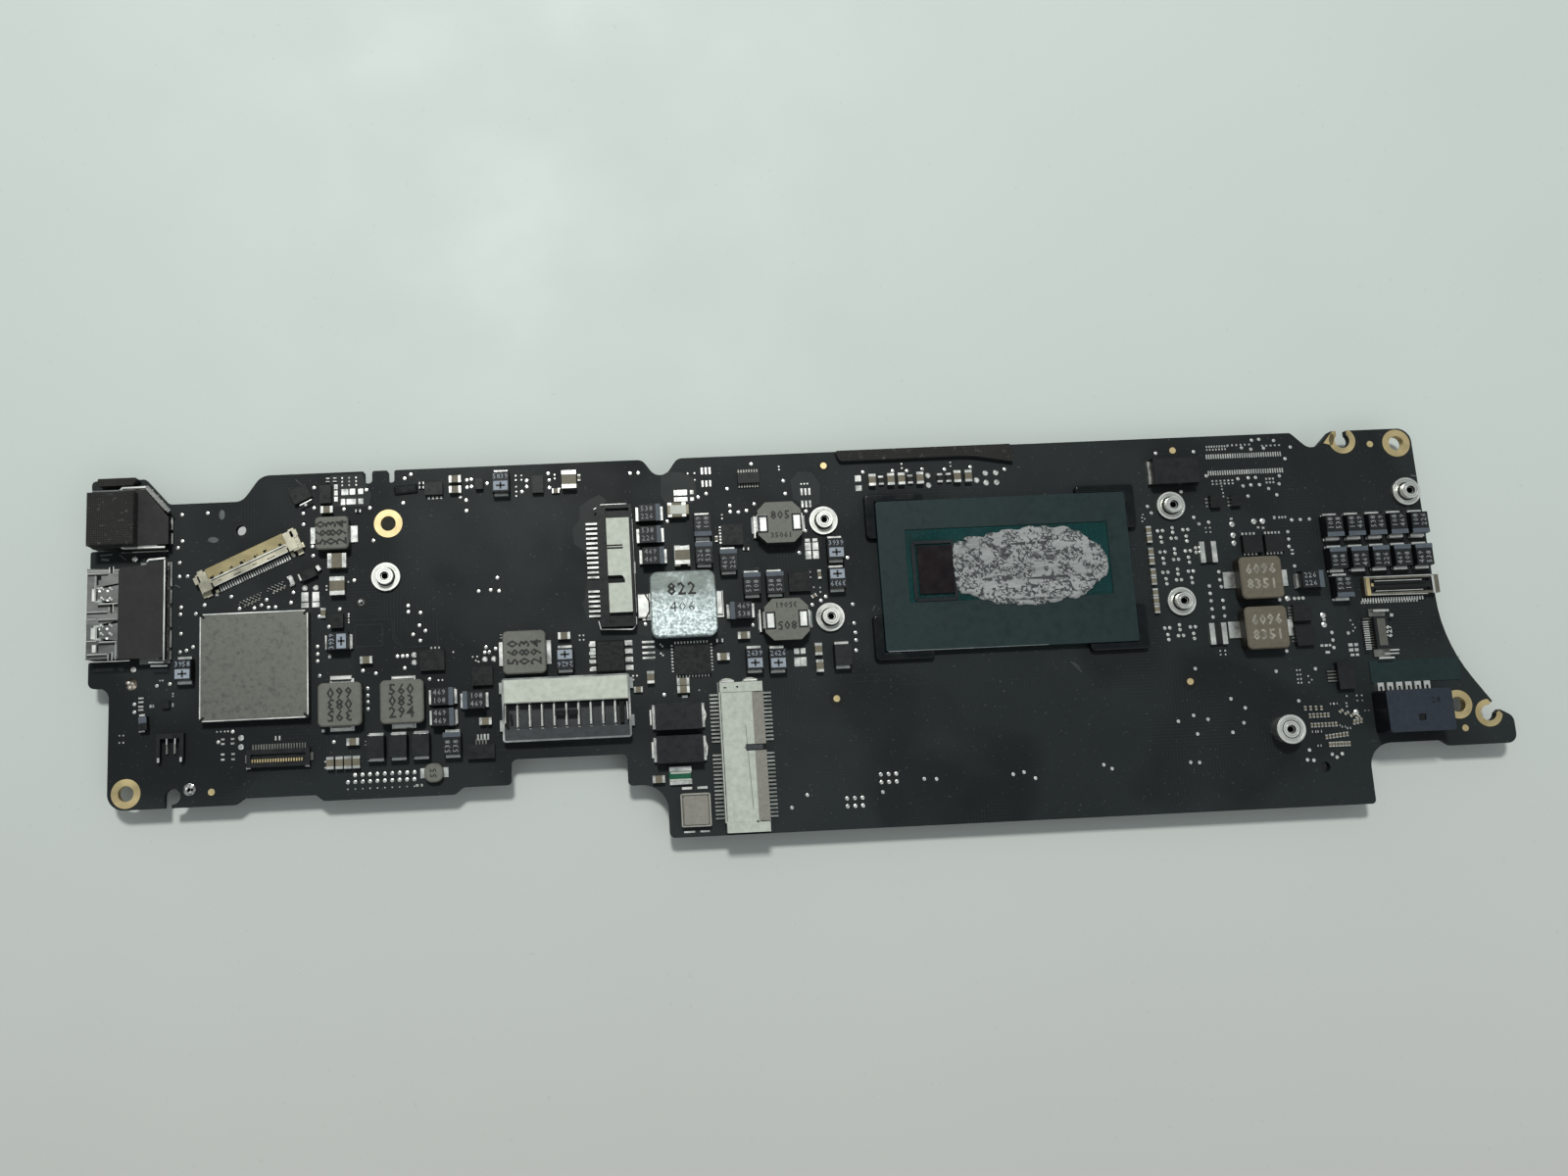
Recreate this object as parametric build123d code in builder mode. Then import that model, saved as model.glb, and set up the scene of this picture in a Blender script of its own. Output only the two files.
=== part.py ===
"""A laptop logic board, populated on its upper side, with the ports on its left end."""

import os

from build123d import *

# The frame: origin on the axis of the lower left mounting hole at the board's
# underside, +X along the board, +Y across it, +Z out of the populated side.

# ---- processor place and heat sink bolts, which the right end is measured from ----
package_length = 40.0
package_width = 24.0
package_middle = (138.0, 28.3)
heat_sink_spacing_x = 56.0
heat_sink_spacing_y = 15.5
heat_sink_middle = (137.7, 30.05)
fan_section_length = 50.7

# ---- bare board ----
board_thickness = 1.0
board_left = -2.85
board_front = -2.5
board_back = 49.05
board_right = heat_sink_middle[0] + heat_sink_spacing_x / 2 + fan_section_length
tail_front = -10.6
port_tongue_left = -6.1
top = board_thickness

# ---- mounting holes ----
mount_hole_radius = 1.3
ring_radius = 2.25
pad_thickness = 0.05
mounting_holes = [(0, 0), (40.6, 40.4), (board_right - 12.5, 46.6), (board_right - 8.6, 4.1)]
locating_hole_radius = 0.8
locating_holes = [(17.4, 40.3), (board_right - 30.9, -4.6)]
hook_hole_radius = 1.22
hook_mouth = 1.7
hook_pad_radius = 2.15
back_hook = (board_right - 21.3, 47.4)
side_hook = (board_right - 3.9, 2.55)
side_hook_turn = 40
keyhole = (7.1, -0.75)
keyhole_radius = 1.2
keyhole_mouth = 1.1

# ---- data port, let into a cut-out of the board ----
usb_width = 14.2
usb_height = 5.7
usb_wall = 0.3
usb_front = -5.6
usb_back = 5.2
usb_middle = 27.7
usb_rise = 2.2
usb_tongue_length = 8.5
usb_tongue_thickness = 1.8
usb_tongue_width = 11.1
usb_tongue_drop = 1.3
tongue_root = 1.2
spring_start = 1.0
spring_length = 3.4
spring_tip_width = 1.6
spring_root_width = 2.85
spring_spacing = 5.9
spring_tip_gap = 0.65
spring_side_gap = 0.28
dimple_radius = 0.45
dimple_depth = 0.12
dimple_spacing = (1.25, 1.5)
port_gap = 0.15
port_flange = 0.9
usb_flange_length = 3.3
usb_back_flange = 1.4
usb_tab_pitch = 2.78
usb_tab_gap = 0.18
port_flange_thickness = 0.3
video_flange = 0.65
film_thickness = 0.12

# ---- video port ----
video_width = 9.2
video_height = 5.0
video_wall = 0.3
video_front = -5.2
video_back = 5.0
video_middle = 42.6
video_rise = 1.9
video_chamfer = 3.6
video_tongue_length = 6.8
video_tongue_thickness = 0.8
video_tongue_width = 5.2
foam_thickness = 1.9
foam_back = 2.0
video_flange_start = 4.0
usb_bare = 4.9
edge_foam_height = 1.9

# ---- processor ----
package_height = 1.0
package_film_thickness = 0.15
window_left_margin = 4.3
window_right_margin = 3.3
window_front_margin = 7.6
window_back_margin = 4.7
cpu_die_size = (18.0, 6.5)
cpu_die_right_gap = 3.0
cpu_die_rise = 1.4
chipset_die_size = (5.6, 7.6)
chipset_die_left_gap = 1.7
chipset_die_rise = 0.7
die_height = 0.4
paste_height = 0.55
bond_width = 1.7
bond_overhang = 1.3
bond_height = 1.0
bond_arm_x = 9.4
bond_arm_y = 7.2

# ---- standoffs ----
standoff_flange_radius = 2.25
standoff_boss_radius = 1.3
standoff_bore_radius = 0.7
standoff_flange_height = 0.5
standoff_height = 1.5
tall_standoff_height = 2.3
drive_standoff_spot = (board_right - 36.8, 1.45)
card_standoff_spots = [(40.15, 31.8), (board_right - 12.2, 38.5)]

# ---- shield can ----
shield_size = 16.7
shield_height = 1.5
shield_wall = 0.2
shield_slit = 0.5
shield_middle = (19.9, 18.65)

# ---- chokes ----
large_choke_size = 10.2
large_choke_height = 3.0
power_choke_size = 6.7
power_choke_height = 2.0
core_choke_length = 6.9
core_choke_width = 6.5
core_choke_height = 2.2
strap_length = 1.4
strap_width = 2.6
strap_thickness = 0.2
input_choke_size = 6.7
input_choke_height = 2.2
foot_thickness = 0.25
foot_inset = 0.9
small_choke_size = 5.2
round_choke_size = 2.9
round_choke_height = 1.1
large_choke_spot = (86.6, 25.2)
power_choke_spot = (61.6, 18.8)
turned_choke_spots = [(42.6, 12.05), (33.1, 12.05)]
small_choke_spot = (32.1, 38.9)
input_choke_spots = [(board_right - 38.4, 25.35), (board_right - 38.5, 17.4)]
round_choke_spot = (47.1, 1.0)
core_choke_spots = [(102.45, 37.5), (102.6, 22.1)]

# ---- capacitors and resistors ----
tantalum_length = 3.5
tantalum_width = 2.8
tantalum_height = 1.9
polymer_length = 3.4
polymer_width = 2.75
solder_foot = 0.4
foot_tuck = 0.7
cap_foot_inset = 0.3
cap_foot_share = 0.4
cap_lift = 0.1
mould_draft = 5
moulded_cap_length = 7.3
moulded_cap_width = 4.3
moulded_cap_height = 1.9
right_bank_pitch = 3.45
right_bank_left = board_right - 25.5
right_bank_rows = (33.15, 27.95)
upright_tantalums = [(board_right - 25.2, 23.4), (90.3, 37.6), (90.3, 33.2), (94.1, 31.9)]
upright_tantalums += [(97.6, 28.0), (101.2, 28.0), (38.4, 5.3), (41.85, 5.3), (45.3, 5.3), (50.1, 5.3)]
flat_tantalums = [(82.0, 40.0), (82.0, 36.5), (82.3, 33.1), (48.75, 12.55), (48.8, 9.4)]
flat_tantalums += [(53.6, 11.8), (95.6, 23.85), (board_right - 30.1, 24.75)]
upright_polymers = [(9.05, 18.45), (58.7, 46.0), (67.85, 17.55), (111.15, 33.0), (111.05, 28.3)]
upright_polymers += [(97.3, 16.15), (100.9, 16.0), (111.1, 16.2)]
flat_polymers = [(32.8, 21.8)]
moulded_spots = [(166.5, 43.2), (85.0, 7.9), (85.0, 2.85)]

# ---- small multilayer capacitors and sense resistors ----
large_ceramic = (2.9, 2.3, 1.2)
medium_ceramic = (1.9, 1.1, 0.9)
small_ceramic = (1.25, 0.8, 0.6)
plated_share = 0.22
large_ceramics = [(32.7, 34.6), (86.4, 40.4)]
large_ceramics_turned = [(32.7, 30.6), (69.5, 46.1), (86.9, 33.1)]
medium_ceramics = [(31.1, 42.9), (95.9, 20.0), (34.8, 6.3), (55.2, 8.5), (67.8, 21.2)]
medium_ceramics += [(81.5, -1.6), (86.0, 13.2), (86.0, 12.0), (92.5, 16.8), (37.0, 18.8)]
medium_ceramics += [(51.4, 47.0), (51.4, 45.3)]
medium_ceramics_turned = [(107.45, 17.3), (107.5, 14.7), (81.0, 14.1)]
back_row_y = 44.0
back_row = (117.9, 120.9, 122.6, 125.6, 131.6, 133.4)
front_row_y = 3.2
front_row = (31.3, 32.7, 34.0, 35.3)
column_x = 161.6
column_rows = (21.2, 22.55, 23.9, 25.75, 27.1, 29.0, 30.45, 32.55, 33.95)
below_pitch = 3.0
below_start = 117.0
below_rows = (15.4, 17.6)
below_left_start = 57.0
below_left_pitch = 2.6
below_left_y = 38.0
resistor_length = 1.1
resistor_width = 3.3
resistor_height = 0.55
terminal_length = 0.8
terminal_height = 0.6
resistor_spots = [(board_right - 45.6, 30.0), (board_right - 45.5, 16.9)]
turned_resistor_spot = (84.9, -1.2)

# ---- chips and crystal ----
controller_height = 0.8
audio_middle = (74.9, 17.65)
audio_length = 4.6
audio_width = 4.9
audio_height = 1.2
audio_pitch = 1.27
audio_lead = (1.0, 0.5, 0.35)
diode_place = (26.9, 45.6)
diode_size = (3.0, 2.4)
diode_turn = 25
driver_place = (28.1, 32.7)
driver_size = (2.5, 1.5)
driver_turn = 23
crystal_middle = (87.0, -6.5)
crystal_size = (4.3, 5.1)
crystal_base_height = 0.6
crystal_lid_margin = 0.3
crystal_lid_height = 0.3

# ---- connectors ----
drive_middle = (94.8, 1.25)
drive_width = 7.0
drive_length = 19.8
drive_height = 2.2
drive_pitch = 0.6
end_bar_width = 1.5
drive_bevel = 1.8
drive_key = (5.0, 1.1)
drive_slot_depth = 4.5
lock_spacing = 3.6
lock_reach = 0.75
card_middle = (76.4, 31.85)
card_width = 5.5
card_length = 19.4
card_height = 1.8
card_edge_slot = 0.7
card_pitch = 0.78
battery_middle = (67.8, 9.95)
battery_length = 19.2
battery_width = 9.2
battery_height = 2.2
battery_lip = 1.6
battery_cover_width = 3.6
battery_pitch = 1.88
display_middle = (19.0, 35.0)
display_turn = 23.3
display_length = 14.0
display_width = 2.7
display_height = 1.0
bracket_length = 1.5
display_pins = 30
display_pin_pitch = 0.4
side_board_middle = (board_right - 15.5, 23.3)
side_board_length = 12.0
side_board_width = 2.9
fan_middle = (board_right - 17.0, 3.45)
fan_length = 10.3
fan_width = 6.5
fan_height = 3.6
fan_pitch = 1.47
fan_film_size = (14.4, 3.5)
fan_film_middle = (fan_middle[0] + 2.3, fan_middle[1] + 6.3)

# ---- flat cable and microphone sockets ----
trackpad_middle = (23.4, 4.4)
trackpad_size = (9.6, 2.7)
trackpad_groove = (8.4, 1.3)
trackpad_pins = 20
microphone_middle = (6.9, 6.8)
microphone_size = (4.2, 4.1)
microphone_wall = 0.6
microphone_back_wall = 0.3
backlight_middle = (54.4, 3.9)
backlight_size = (4.2, 2.2)
backlight_pins = 4
keyboard_light_middle = (98.1, 45.2)
keyboard_light_size = (3.4, 1.7)
keyboard_light_pins = 8
fan_side_middle = (board_right - 26.2, 9.4)
fan_side_size = (2.6, 4.2)
fan_side_pins = 4
hinge_middle = (board_right - 19.7, 15.9)
hinge_size = (2.0, 5.2)
hinge_pins = 12
fine_pin_pitch = 0.42
fine_pin_width = 0.2
coarse_pin_pitch = 0.5
socket_height = 0.9
socket_groove_depth = 0.5
socket_pin_height = 0.3

# ---- underside ----
memory_length = 12.0
memory_width = 11.5
memory_height = 1.1
memory_pitch = 14.5
system_chip_size = 9.0
system_chip_spots = [(60.0, 30.0), (100.0, 2.0)]
helper_chip_size = 5.0
helper_chip_spots = [(24.0, 20.0), (board_right - 36.4, 24.0), (board_right - 40.4, 38.0)]
under_chip_height = 0.8


def save(part, name):
    """Label a finished piece and write it to its own STEP file."""
    part.label = name
    export_step(part, f"parts/{name}.step")


def blocks(spots, length, width, height, base, corner=0.0, bevel=0.0):
    """Equal blocks standing on one level; a spot is (x, y) or (x, y, turn)."""
    with BuildPart() as group:
        with BuildSketch(Plane.XY.offset(base)):
            for spot in spots:
                turn = spot[2] if len(spot) > 2 else 0
                with Locations(Location((spot[0], spot[1]), turn)):
                    if corner:
                        RectangleRounded(length, width, corner)
                    else:
                        Rectangle(length, width)
        extrude(amount=height)
        if bevel:
            chamfer(group.faces().group_by(Axis.Z)[-1].edges(), bevel)
    return group.part


def moulded_blocks(spots, length, width, height, base):
    """Blocks moulded in two halves, each drawn in from the parting line at mid height."""
    with BuildPart() as group:
        for side in (-1, 1):
            with BuildSketch(Plane.XY.offset(base + height / 2)):
                for x, y, turn in spots:
                    with Locations(Location((x, y), turn)):
                        Rectangle(length, width)
            extrude(amount=side * height / 2, taper=mould_draft)
    return group.part


def end_feet(spots, length, width, height, base, depth):
    """A pair of feet outside the two ends of each block of the given length."""
    with BuildPart() as group:
        with BuildSketch(Plane.XY.offset(base)):
            for spot in spots:
                turn = spot[2] if len(spot) > 2 else 0
                with Locations(Location((spot[0], spot[1]), turn)):
                    with GridLocations(length + depth, 0, 2, 1):
                        Rectangle(depth, width)
        extrude(amount=height)
    return group.part


def u_notch(middle, width, depth, mouth=0.4):
    """Outline corners of a round-bottomed notch in the back edge, right to left."""
    side = width / 2
    return [
        (middle + side, board_back, mouth),
        (middle + side, board_back - depth, 0.95 * side),
        (middle - side, board_back - depth, 0.95 * side),
        (middle - side, board_back, mouth),
    ]


def valley(left, right, depth, mouth, bottom):
    """Outline corners of a wide notch in the back edge, right to left."""
    return [
        (right, board_back, mouth),
        ((left + right) / 2, board_back - depth, bottom),
        (left, board_back, mouth),
    ]


def board_outline():
    """Corners of the board as (x, y, radius), anticlockwise from the lower left."""
    usb_cut_front = usb_middle - usb_width / 2 - port_gap
    usb_cut_back = usb_middle + usb_width / 2 + port_gap
    usb_cut_right = usb_back + port_gap
    video_cut_front = video_middle - video_width / 2 - port_gap
    video_cut_back = video_middle + video_width / 2 + port_gap
    video_cut_right = video_back + port_gap
    shoulder = board_back - 4.1
    tail_right = board_right - 23.65
    back_corner = board_right - 9.95
    return [
        (board_left, board_front, 2.6),
        (16.6, board_front, 1.0),
        (17.9, board_front + 0.95, 1.0),
        (28.9, board_front + 0.95, 0.8),
        (30.1, board_front, 0.8),
        (50.1, board_front, 1.0),
        (51.4, board_front + 1.05, 1.0),
        (58.85, board_front + 1.05, 0.7),
        (58.85, 2.45, 0.9),
        (76.8, 2.45, 0.9),
        (76.8, -2.4, 0.7),
        (82.85, -2.4, 3.9),
        (82.85, tail_front, 0.8),
        (tail_right, tail_front, 0.7),
        (tail_right, -1.35, 3.6),
        (board_right - 11.8, -1.35, 1.0),
        (board_right - 10.5, -2.26, 1.0),
        (board_right, -2.26, 1.5),
        (board_right, 1.9, 1.6),
        (board_right - 2.2, 3.1, 0.3),
        (back_corner + 0.35, 14.1, 24),
        (back_corner, board_back, 2.3),
        *valley(board_right - 29.7, board_right - 23.1, 3.3, 0.9, 1.9),
        *valley(81.3, 86.9, 4.0, 1.6, 1.85),
        *u_notch(41.2, 0.95, 2.0),
        *u_notch(37.55, 1.2, 2.0),
        (20.6, board_back, 2.6),
        (17.6, shoulder, 2.2),
        (6.0, shoulder, 1.6),
        (2.3, board_back + 0.15, 0.5),
        (port_tongue_left, board_back + 0.15, 0.7),
        (port_tongue_left, video_cut_back, 0.7),
        (video_cut_right - video_chamfer + 0.4, video_cut_back, 0.3),
        (video_cut_right, video_cut_back - video_chamfer - 0.1, 0.3),
        (video_cut_right, video_cut_front, 0.3),
        (port_tongue_left, video_cut_front, 0.4),
        (port_tongue_left, usb_cut_back, 0.4),
        (usb_cut_right, usb_cut_back, 0.3),
        (usb_cut_right, usb_cut_front, 0.3),
        (port_tongue_left, usb_cut_front, 0.5),
        (port_tongue_left, 16.25, 1.0),
        (board_left, 16.25, 1.6),
    ]


def circuit_board():
    corners = board_outline()
    points = [(x, y) for x, y, _ in corners]
    radii = [radius for _, _, radius in corners]
    with BuildPart() as board:
        with BuildSketch():
            with BuildLine():
                FilletPolyline(*points, radius=radii, close=True)
            make_face()
            with Locations(*mounting_holes):
                Circle(mount_hole_radius, mode=Mode.SUBTRACT)
            with Locations(*locating_holes):
                Circle(locating_hole_radius, mode=Mode.SUBTRACT)
            hook_mouths()
            with Locations(keyhole):
                Circle(keyhole_radius, mode=Mode.SUBTRACT)
            mouth_middle = keyhole[0] - keyhole_radius + keyhole_mouth / 2
            with Locations((mouth_middle, board_front)):
                Rectangle(keyhole_mouth, 2 * (keyhole[1] - board_front), mode=Mode.SUBTRACT)
        extrude(amount=board_thickness)
    save(board.part, "circuit_board")


def hook_mouths():
    """Cut the two open hook holes out of the sketch being made."""
    reach = 2 * hook_pad_radius
    with Locations(back_hook, side_hook):
        Circle(hook_hole_radius, mode=Mode.SUBTRACT)
    with Locations(Location(back_hook, 90), Location(side_hook, side_hook_turn)):
        with Locations((reach / 2, 0)):
            Rectangle(reach, hook_mouth, mode=Mode.SUBTRACT)


def plated_hole_rings():
    """Plated rings round the screw holes on both faces, and the pads of the hook holes."""
    with BuildPart() as rings:
        for level in (top, -pad_thickness):
            with BuildSketch(Plane.XY.offset(level)):
                with Locations(*mounting_holes):
                    Circle(ring_radius)
                    Circle(mount_hole_radius, mode=Mode.SUBTRACT)
            extrude(amount=pad_thickness)
        with BuildSketch(Plane.XY.offset(top)):
            with Locations(back_hook, side_hook):
                Circle(hook_pad_radius)
            hook_mouths()
            with Locations((back_hook[0], board_back + hook_pad_radius)):
                Rectangle(3 * hook_pad_radius, 2 * hook_pad_radius, mode=Mode.SUBTRACT)
            with Locations(Location(side_hook, side_hook_turn)):
                with Locations((1.45 + hook_pad_radius, 0)):
                    Rectangle(2 * hook_pad_radius, 3 * hook_pad_radius, mode=Mode.SUBTRACT)
        extrude(amount=pad_thickness)
    save(rings.part, "plated_hole_rings")


def usb_port():
    """Receptacle shell and its contact tongue."""
    high = top + usb_rise
    low = high - usb_height
    length = usb_back - usb_front
    middle = ((usb_front + usb_back) / 2, usb_middle)
    with BuildPart() as shell:
        with BuildSketch(Plane.YZ.offset(usb_front)):
            with Locations((usb_middle, (low + high) / 2)):
                RectangleRounded(usb_width, usb_height, 0.5)
        extrude(amount=length)
        with BuildSketch(Plane.YZ.offset(usb_front)):
            with Locations((usb_middle, (low + high) / 2)):
                Rectangle(usb_width - 2 * usb_wall, usb_height - 2 * usb_wall)
        extrude(amount=length - usb_wall, mode=Mode.SUBTRACT)
        # Two roof springs, each cut free on three sides and dimpled.
        with BuildSketch(Plane.XY.offset(high)):
            for y in spring_rows():
                with BuildLine():
                    Polyline(*spring_window(usb_front + spring_start, y), close=True)
                make_face()
        extrude(amount=-1.5 * usb_wall, mode=Mode.SUBTRACT)
        ball = (dimple_radius**2 + dimple_depth**2) / (2 * dimple_depth)
        dimple_x = usb_front + spring_start + spring_tip_gap + spring_length / 3
        for y in spring_rows():
            with Locations((dimple_x, y, high + ball - dimple_depth)):
                with GridLocations(*dimple_spacing, 2, 2):
                    Sphere(ball, mode=Mode.SUBTRACT)
        # Solder flanges on the board along both sides, and a row of tabs behind.
        with BuildSketch(Plane.XY.offset(top)):
            with Locations((usb_back + (usb_back_flange - usb_flange_length) / 2, usb_middle)):
                Rectangle(usb_back_flange + usb_flange_length, usb_width + 2 * port_flange)
            with Locations(middle):
                Rectangle(length, usb_width, mode=Mode.SUBTRACT)
            with Locations((usb_back + 0.2 + usb_back_flange / 2, usb_middle)):
                with GridLocations(0, usb_tab_pitch, 1, 6):
                    Rectangle(usb_back_flange, usb_tab_gap, mode=Mode.SUBTRACT)
        extrude(amount=port_flange_thickness)
    save(shell.part, "usb_port_shell")

    with BuildPart() as tongue:
        back_x = usb_back - usb_wall
        with BuildSketch(Plane.XY.offset(high - usb_wall - usb_tongue_drop)):
            with Locations((back_x - usb_tongue_length / 2, usb_middle)):
                Rectangle(usb_tongue_length, usb_tongue_width)
        extrude(amount=-usb_tongue_thickness)
        with BuildSketch(Plane.YZ.offset(back_x)):
            with Locations((usb_middle, (low + high) / 2)):
                Rectangle(usb_width - 2 * usb_wall, usb_height - 2 * usb_wall)
        extrude(amount=-tongue_root)
    save(tongue.part, "usb_port_tongue")


def spring_rows():
    """Y places of the two roof springs of the data port."""
    return [usb_middle + side * spring_spacing / 2 for side in (-1, 1)]


def spring_window(x, y):
    """Corners of the cut round a tapered spring whose tip points to -X; its root stays joined."""
    root = x + spring_tip_gap + spring_length
    tip_side = spring_tip_width / 2
    root_side = spring_root_width / 2
    return [
        (x, y - tip_side - spring_side_gap),
        (root, y - root_side - spring_side_gap),
        (root, y - root_side),
        (x + spring_tip_gap, y - tip_side),
        (x + spring_tip_gap, y + tip_side),
        (root, y + root_side),
        (root, y + root_side + spring_side_gap),
        (x, y + tip_side + spring_side_gap),
    ]


def video_outline(grow=0.0):
    """Plan of the video port: a rectangle with its back far corner cut away."""
    front = video_middle - video_width / 2 - grow
    back = video_middle + video_width / 2 + grow
    right = video_back + grow
    cut = video_chamfer
    return [
        (video_front, front),
        (right, front),
        (right, back - cut),
        (right - cut, back),
        (video_front, back),
    ]


def video_port():
    high = top + video_rise
    low = high - video_height
    with BuildPart() as shell:
        with BuildSketch(Plane.XY.offset(low)):
            with BuildLine():
                Polyline(*video_outline(), close=True)
            make_face()
        extrude(amount=video_height)
        with BuildSketch(Plane.XY.offset(low + video_wall)):
            with BuildLine():
                Polyline(*video_outline(-video_wall), close=True)
            make_face()
        extrude(amount=video_height - 2 * video_wall, mode=Mode.SUBTRACT)
        # Solder flanges beside the back half of the shell.
        with BuildSketch(Plane.XY.offset(top)):
            with BuildLine():
                Polyline(*video_outline(video_flange), close=True)
            make_face()
            with BuildLine():
                Polyline(*video_outline(), close=True)
            make_face(mode=Mode.SUBTRACT)
            with Locations((video_front, video_middle)):
                Rectangle(2 * video_flange_start, 2 * video_width, mode=Mode.SUBTRACT)
        extrude(amount=port_flange_thickness)
    save(shell.part, "video_port_shell")

    inside_back = video_back - video_wall
    with BuildPart() as tongue:
        with BuildSketch(Plane.XY.offset((low + high - video_tongue_thickness) / 2)):
            with Locations((inside_back - video_tongue_length / 2, video_middle)):
                Rectangle(video_tongue_length, video_tongue_width)
        extrude(amount=video_tongue_thickness)
        with BuildSketch(Plane.XY.offset(low + video_wall)):
            with Locations((inside_back - tongue_root / 2, video_middle)):
                Rectangle(tongue_root, video_width)
        extrude(amount=video_height - 2 * video_wall)
        with BuildSketch(Plane.XY.offset(low + video_wall)):
            with BuildLine():
                Polyline(*video_outline(-video_wall), close=True)
            make_face()
        extrude(amount=video_height - 2 * video_wall, mode=Mode.INTERSECT)
    save(tongue.part, "video_port_tongue")


def films_and_foam():
    """Insulating films over both ports and by the fan socket, and the port foam."""
    usb_high = top + usb_rise
    video_high = top + video_rise
    film_back = usb_back - 0.3
    with BuildPart() as films:
        with BuildSketch(Plane.XY.offset(usb_high)):
            with Locations(((usb_front + usb_bare + film_back) / 2, usb_middle)):
                RectangleRounded(film_back - usb_front - usb_bare, usb_width - 0.4, 0.5)
        extrude(amount=film_thickness)
        with BuildSketch(Plane.XY.offset(video_high)):
            with BuildLine():
                Polyline(*video_outline(-0.2), close=True)
            make_face()
        extrude(amount=film_thickness)
        with BuildSketch(Plane.XY.offset(top)):
            with Locations(fan_film_middle):
                Rectangle(*fan_film_size)
        extrude(amount=film_thickness)
    save(films.part, "insulating_films")

    foam_base = video_high + film_thickness
    arm_back = board_back + 0.15
    with BuildPart() as foam:
        with BuildSketch(Plane.XY.offset(foam_base)):
            with Locations(((video_front + foam_back) / 2, video_middle - 0.3)):
                Rectangle(foam_back - video_front, video_width - 0.8)
        extrude(amount=foam_thickness)
        chamfer(foam.faces().sort_by(Axis.Z)[-1].edges(), 0.15)
        # Strip on the narrow arm of the board behind the video port.
        with BuildSketch(Plane.XY.offset(top)):
            with BuildLine():
                FilletPolyline(
                    (-4.4, arm_back - 1.3),
                    (1.0, arm_back - 1.3),
                    (2.0, arm_back - 0.1),
                    (-4.4, arm_back - 0.1),
                    radius=[0.2, 0.4, 0.3, 0.2],
                    close=True,
                )
            make_face()
        extrude(amount=edge_foam_height)
    save(foam.part, "port_foam_pads")


def processor():
    film_base = top + package_height
    die_base = film_base
    package = blocks([package_middle], package_length, package_width, package_height, top, 0.4)
    save(package, "cpu_package")

    x, y = package_middle
    window_left = x - package_length / 2 + window_left_margin
    window_right = x + package_length / 2 - window_right_margin
    window_front = y - package_width / 2 + window_front_margin
    window_back = y + package_width / 2 - window_back_margin
    window_x = (window_left + window_right) / 2
    window_y = (window_front + window_back) / 2
    with BuildPart() as film:
        with BuildSketch(Plane.XY.offset(film_base)):
            with Locations((x, y)):
                RectangleRounded(package_length, package_width, 0.4)
            with Locations((window_x, window_y)):
                Rectangle(
                    window_right - window_left, window_back - window_front, mode=Mode.SUBTRACT
                )
        extrude(amount=package_film_thickness)
    save(film.part, "cpu_film")

    cpu_die_x = window_right - cpu_die_right_gap - cpu_die_size[0] / 2
    cpu_die_middle = (cpu_die_x, y + cpu_die_rise)
    chipset_die_x = window_left + chipset_die_left_gap + chipset_die_size[0] / 2
    chipset_die_middle = (chipset_die_x, y + chipset_die_rise)
    save(blocks([cpu_die_middle], *cpu_die_size, die_height, die_base), "cpu_die")
    save(blocks([chipset_die_middle], *chipset_die_size, die_height, die_base), "chipset_die")

    paste_left = chipset_die_middle[0] + chipset_die_size[0] / 2 - 0.1
    with BuildPart() as paste:
        with BuildSketch(Plane.XY.offset(film_base)):
            with BuildLine():
                Spline(
                    (paste_left, y - 2.3),
                    (x - 5.8, y - 3.7),
                    (x - 2.5, y - 5.1),
                    (x + 3.0, y - 5.7),
                    (x + 9.5, y - 5.0),
                    (x + 13.6, y - 2.7),
                    (x + 16.2, y - 0.7),
                    (x + 16.3, y + 1.5),
                    (x + 14.2, y + 4.5),
                    (x + 11.0, y + 6.5),
                    (x + 5.0, y + 6.8),
                    (x - 0.5, y + 6.3),
                    (x - 3.4, y + 5.3),
                    (x - 6.5, y + 5.2),
                    (paste_left, y + 4.0),
                    periodic=True,
                )
            make_face()
        extrude(amount=paste_height)
        with BuildSketch(Plane.XY.offset(film_base)):
            with Locations(cpu_die_middle):
                Rectangle(*cpu_die_size)
            with Locations(chipset_die_middle):
                Rectangle(*chipset_die_size)
        extrude(amount=die_height, mode=Mode.SUBTRACT)
        # The smear runs out over the film where it passes the edge of the window.
        with BuildSketch(Plane.XY.offset(film_base)):
            with Locations((x, y)):
                Rectangle(package_length, package_width)
            with Locations((window_x, window_y)):
                Rectangle(
                    window_right - window_left, window_back - window_front, mode=Mode.SUBTRACT
                )
        extrude(amount=package_film_thickness, mode=Mode.SUBTRACT)
    save(paste.part, "thermal_paste")

    with BuildPart() as bonds:
        with BuildSketch(Plane.XY.offset(top)):
            for side_x in (-1, 1):
                for side_y in (-1, 1):
                    corner_x = x + side_x * (package_length / 2 + bond_width)
                    corner_y = y + side_y * (package_width / 2 + bond_overhang)
                    with Locations(
                        (corner_x - side_x * bond_arm_x / 2, corner_y - side_y * bond_arm_y / 2)
                    ):
                        RectangleRounded(bond_arm_x, bond_arm_y, 0.7)
            with Locations(package_middle):
                Rectangle(package_length, package_width, mode=Mode.SUBTRACT)
                Rectangle(
                    package_length + 2 * bond_width + 1,
                    package_width + 2 * bond_overhang - 2 * bond_arm_y,
                    mode=Mode.SUBTRACT,
                )
        extrude(amount=bond_height)
        fillet(bonds.faces().group_by(Axis.Z)[-1].edges(), 0.3)
    save(bonds.part, "cpu_corner_bonds")


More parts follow.
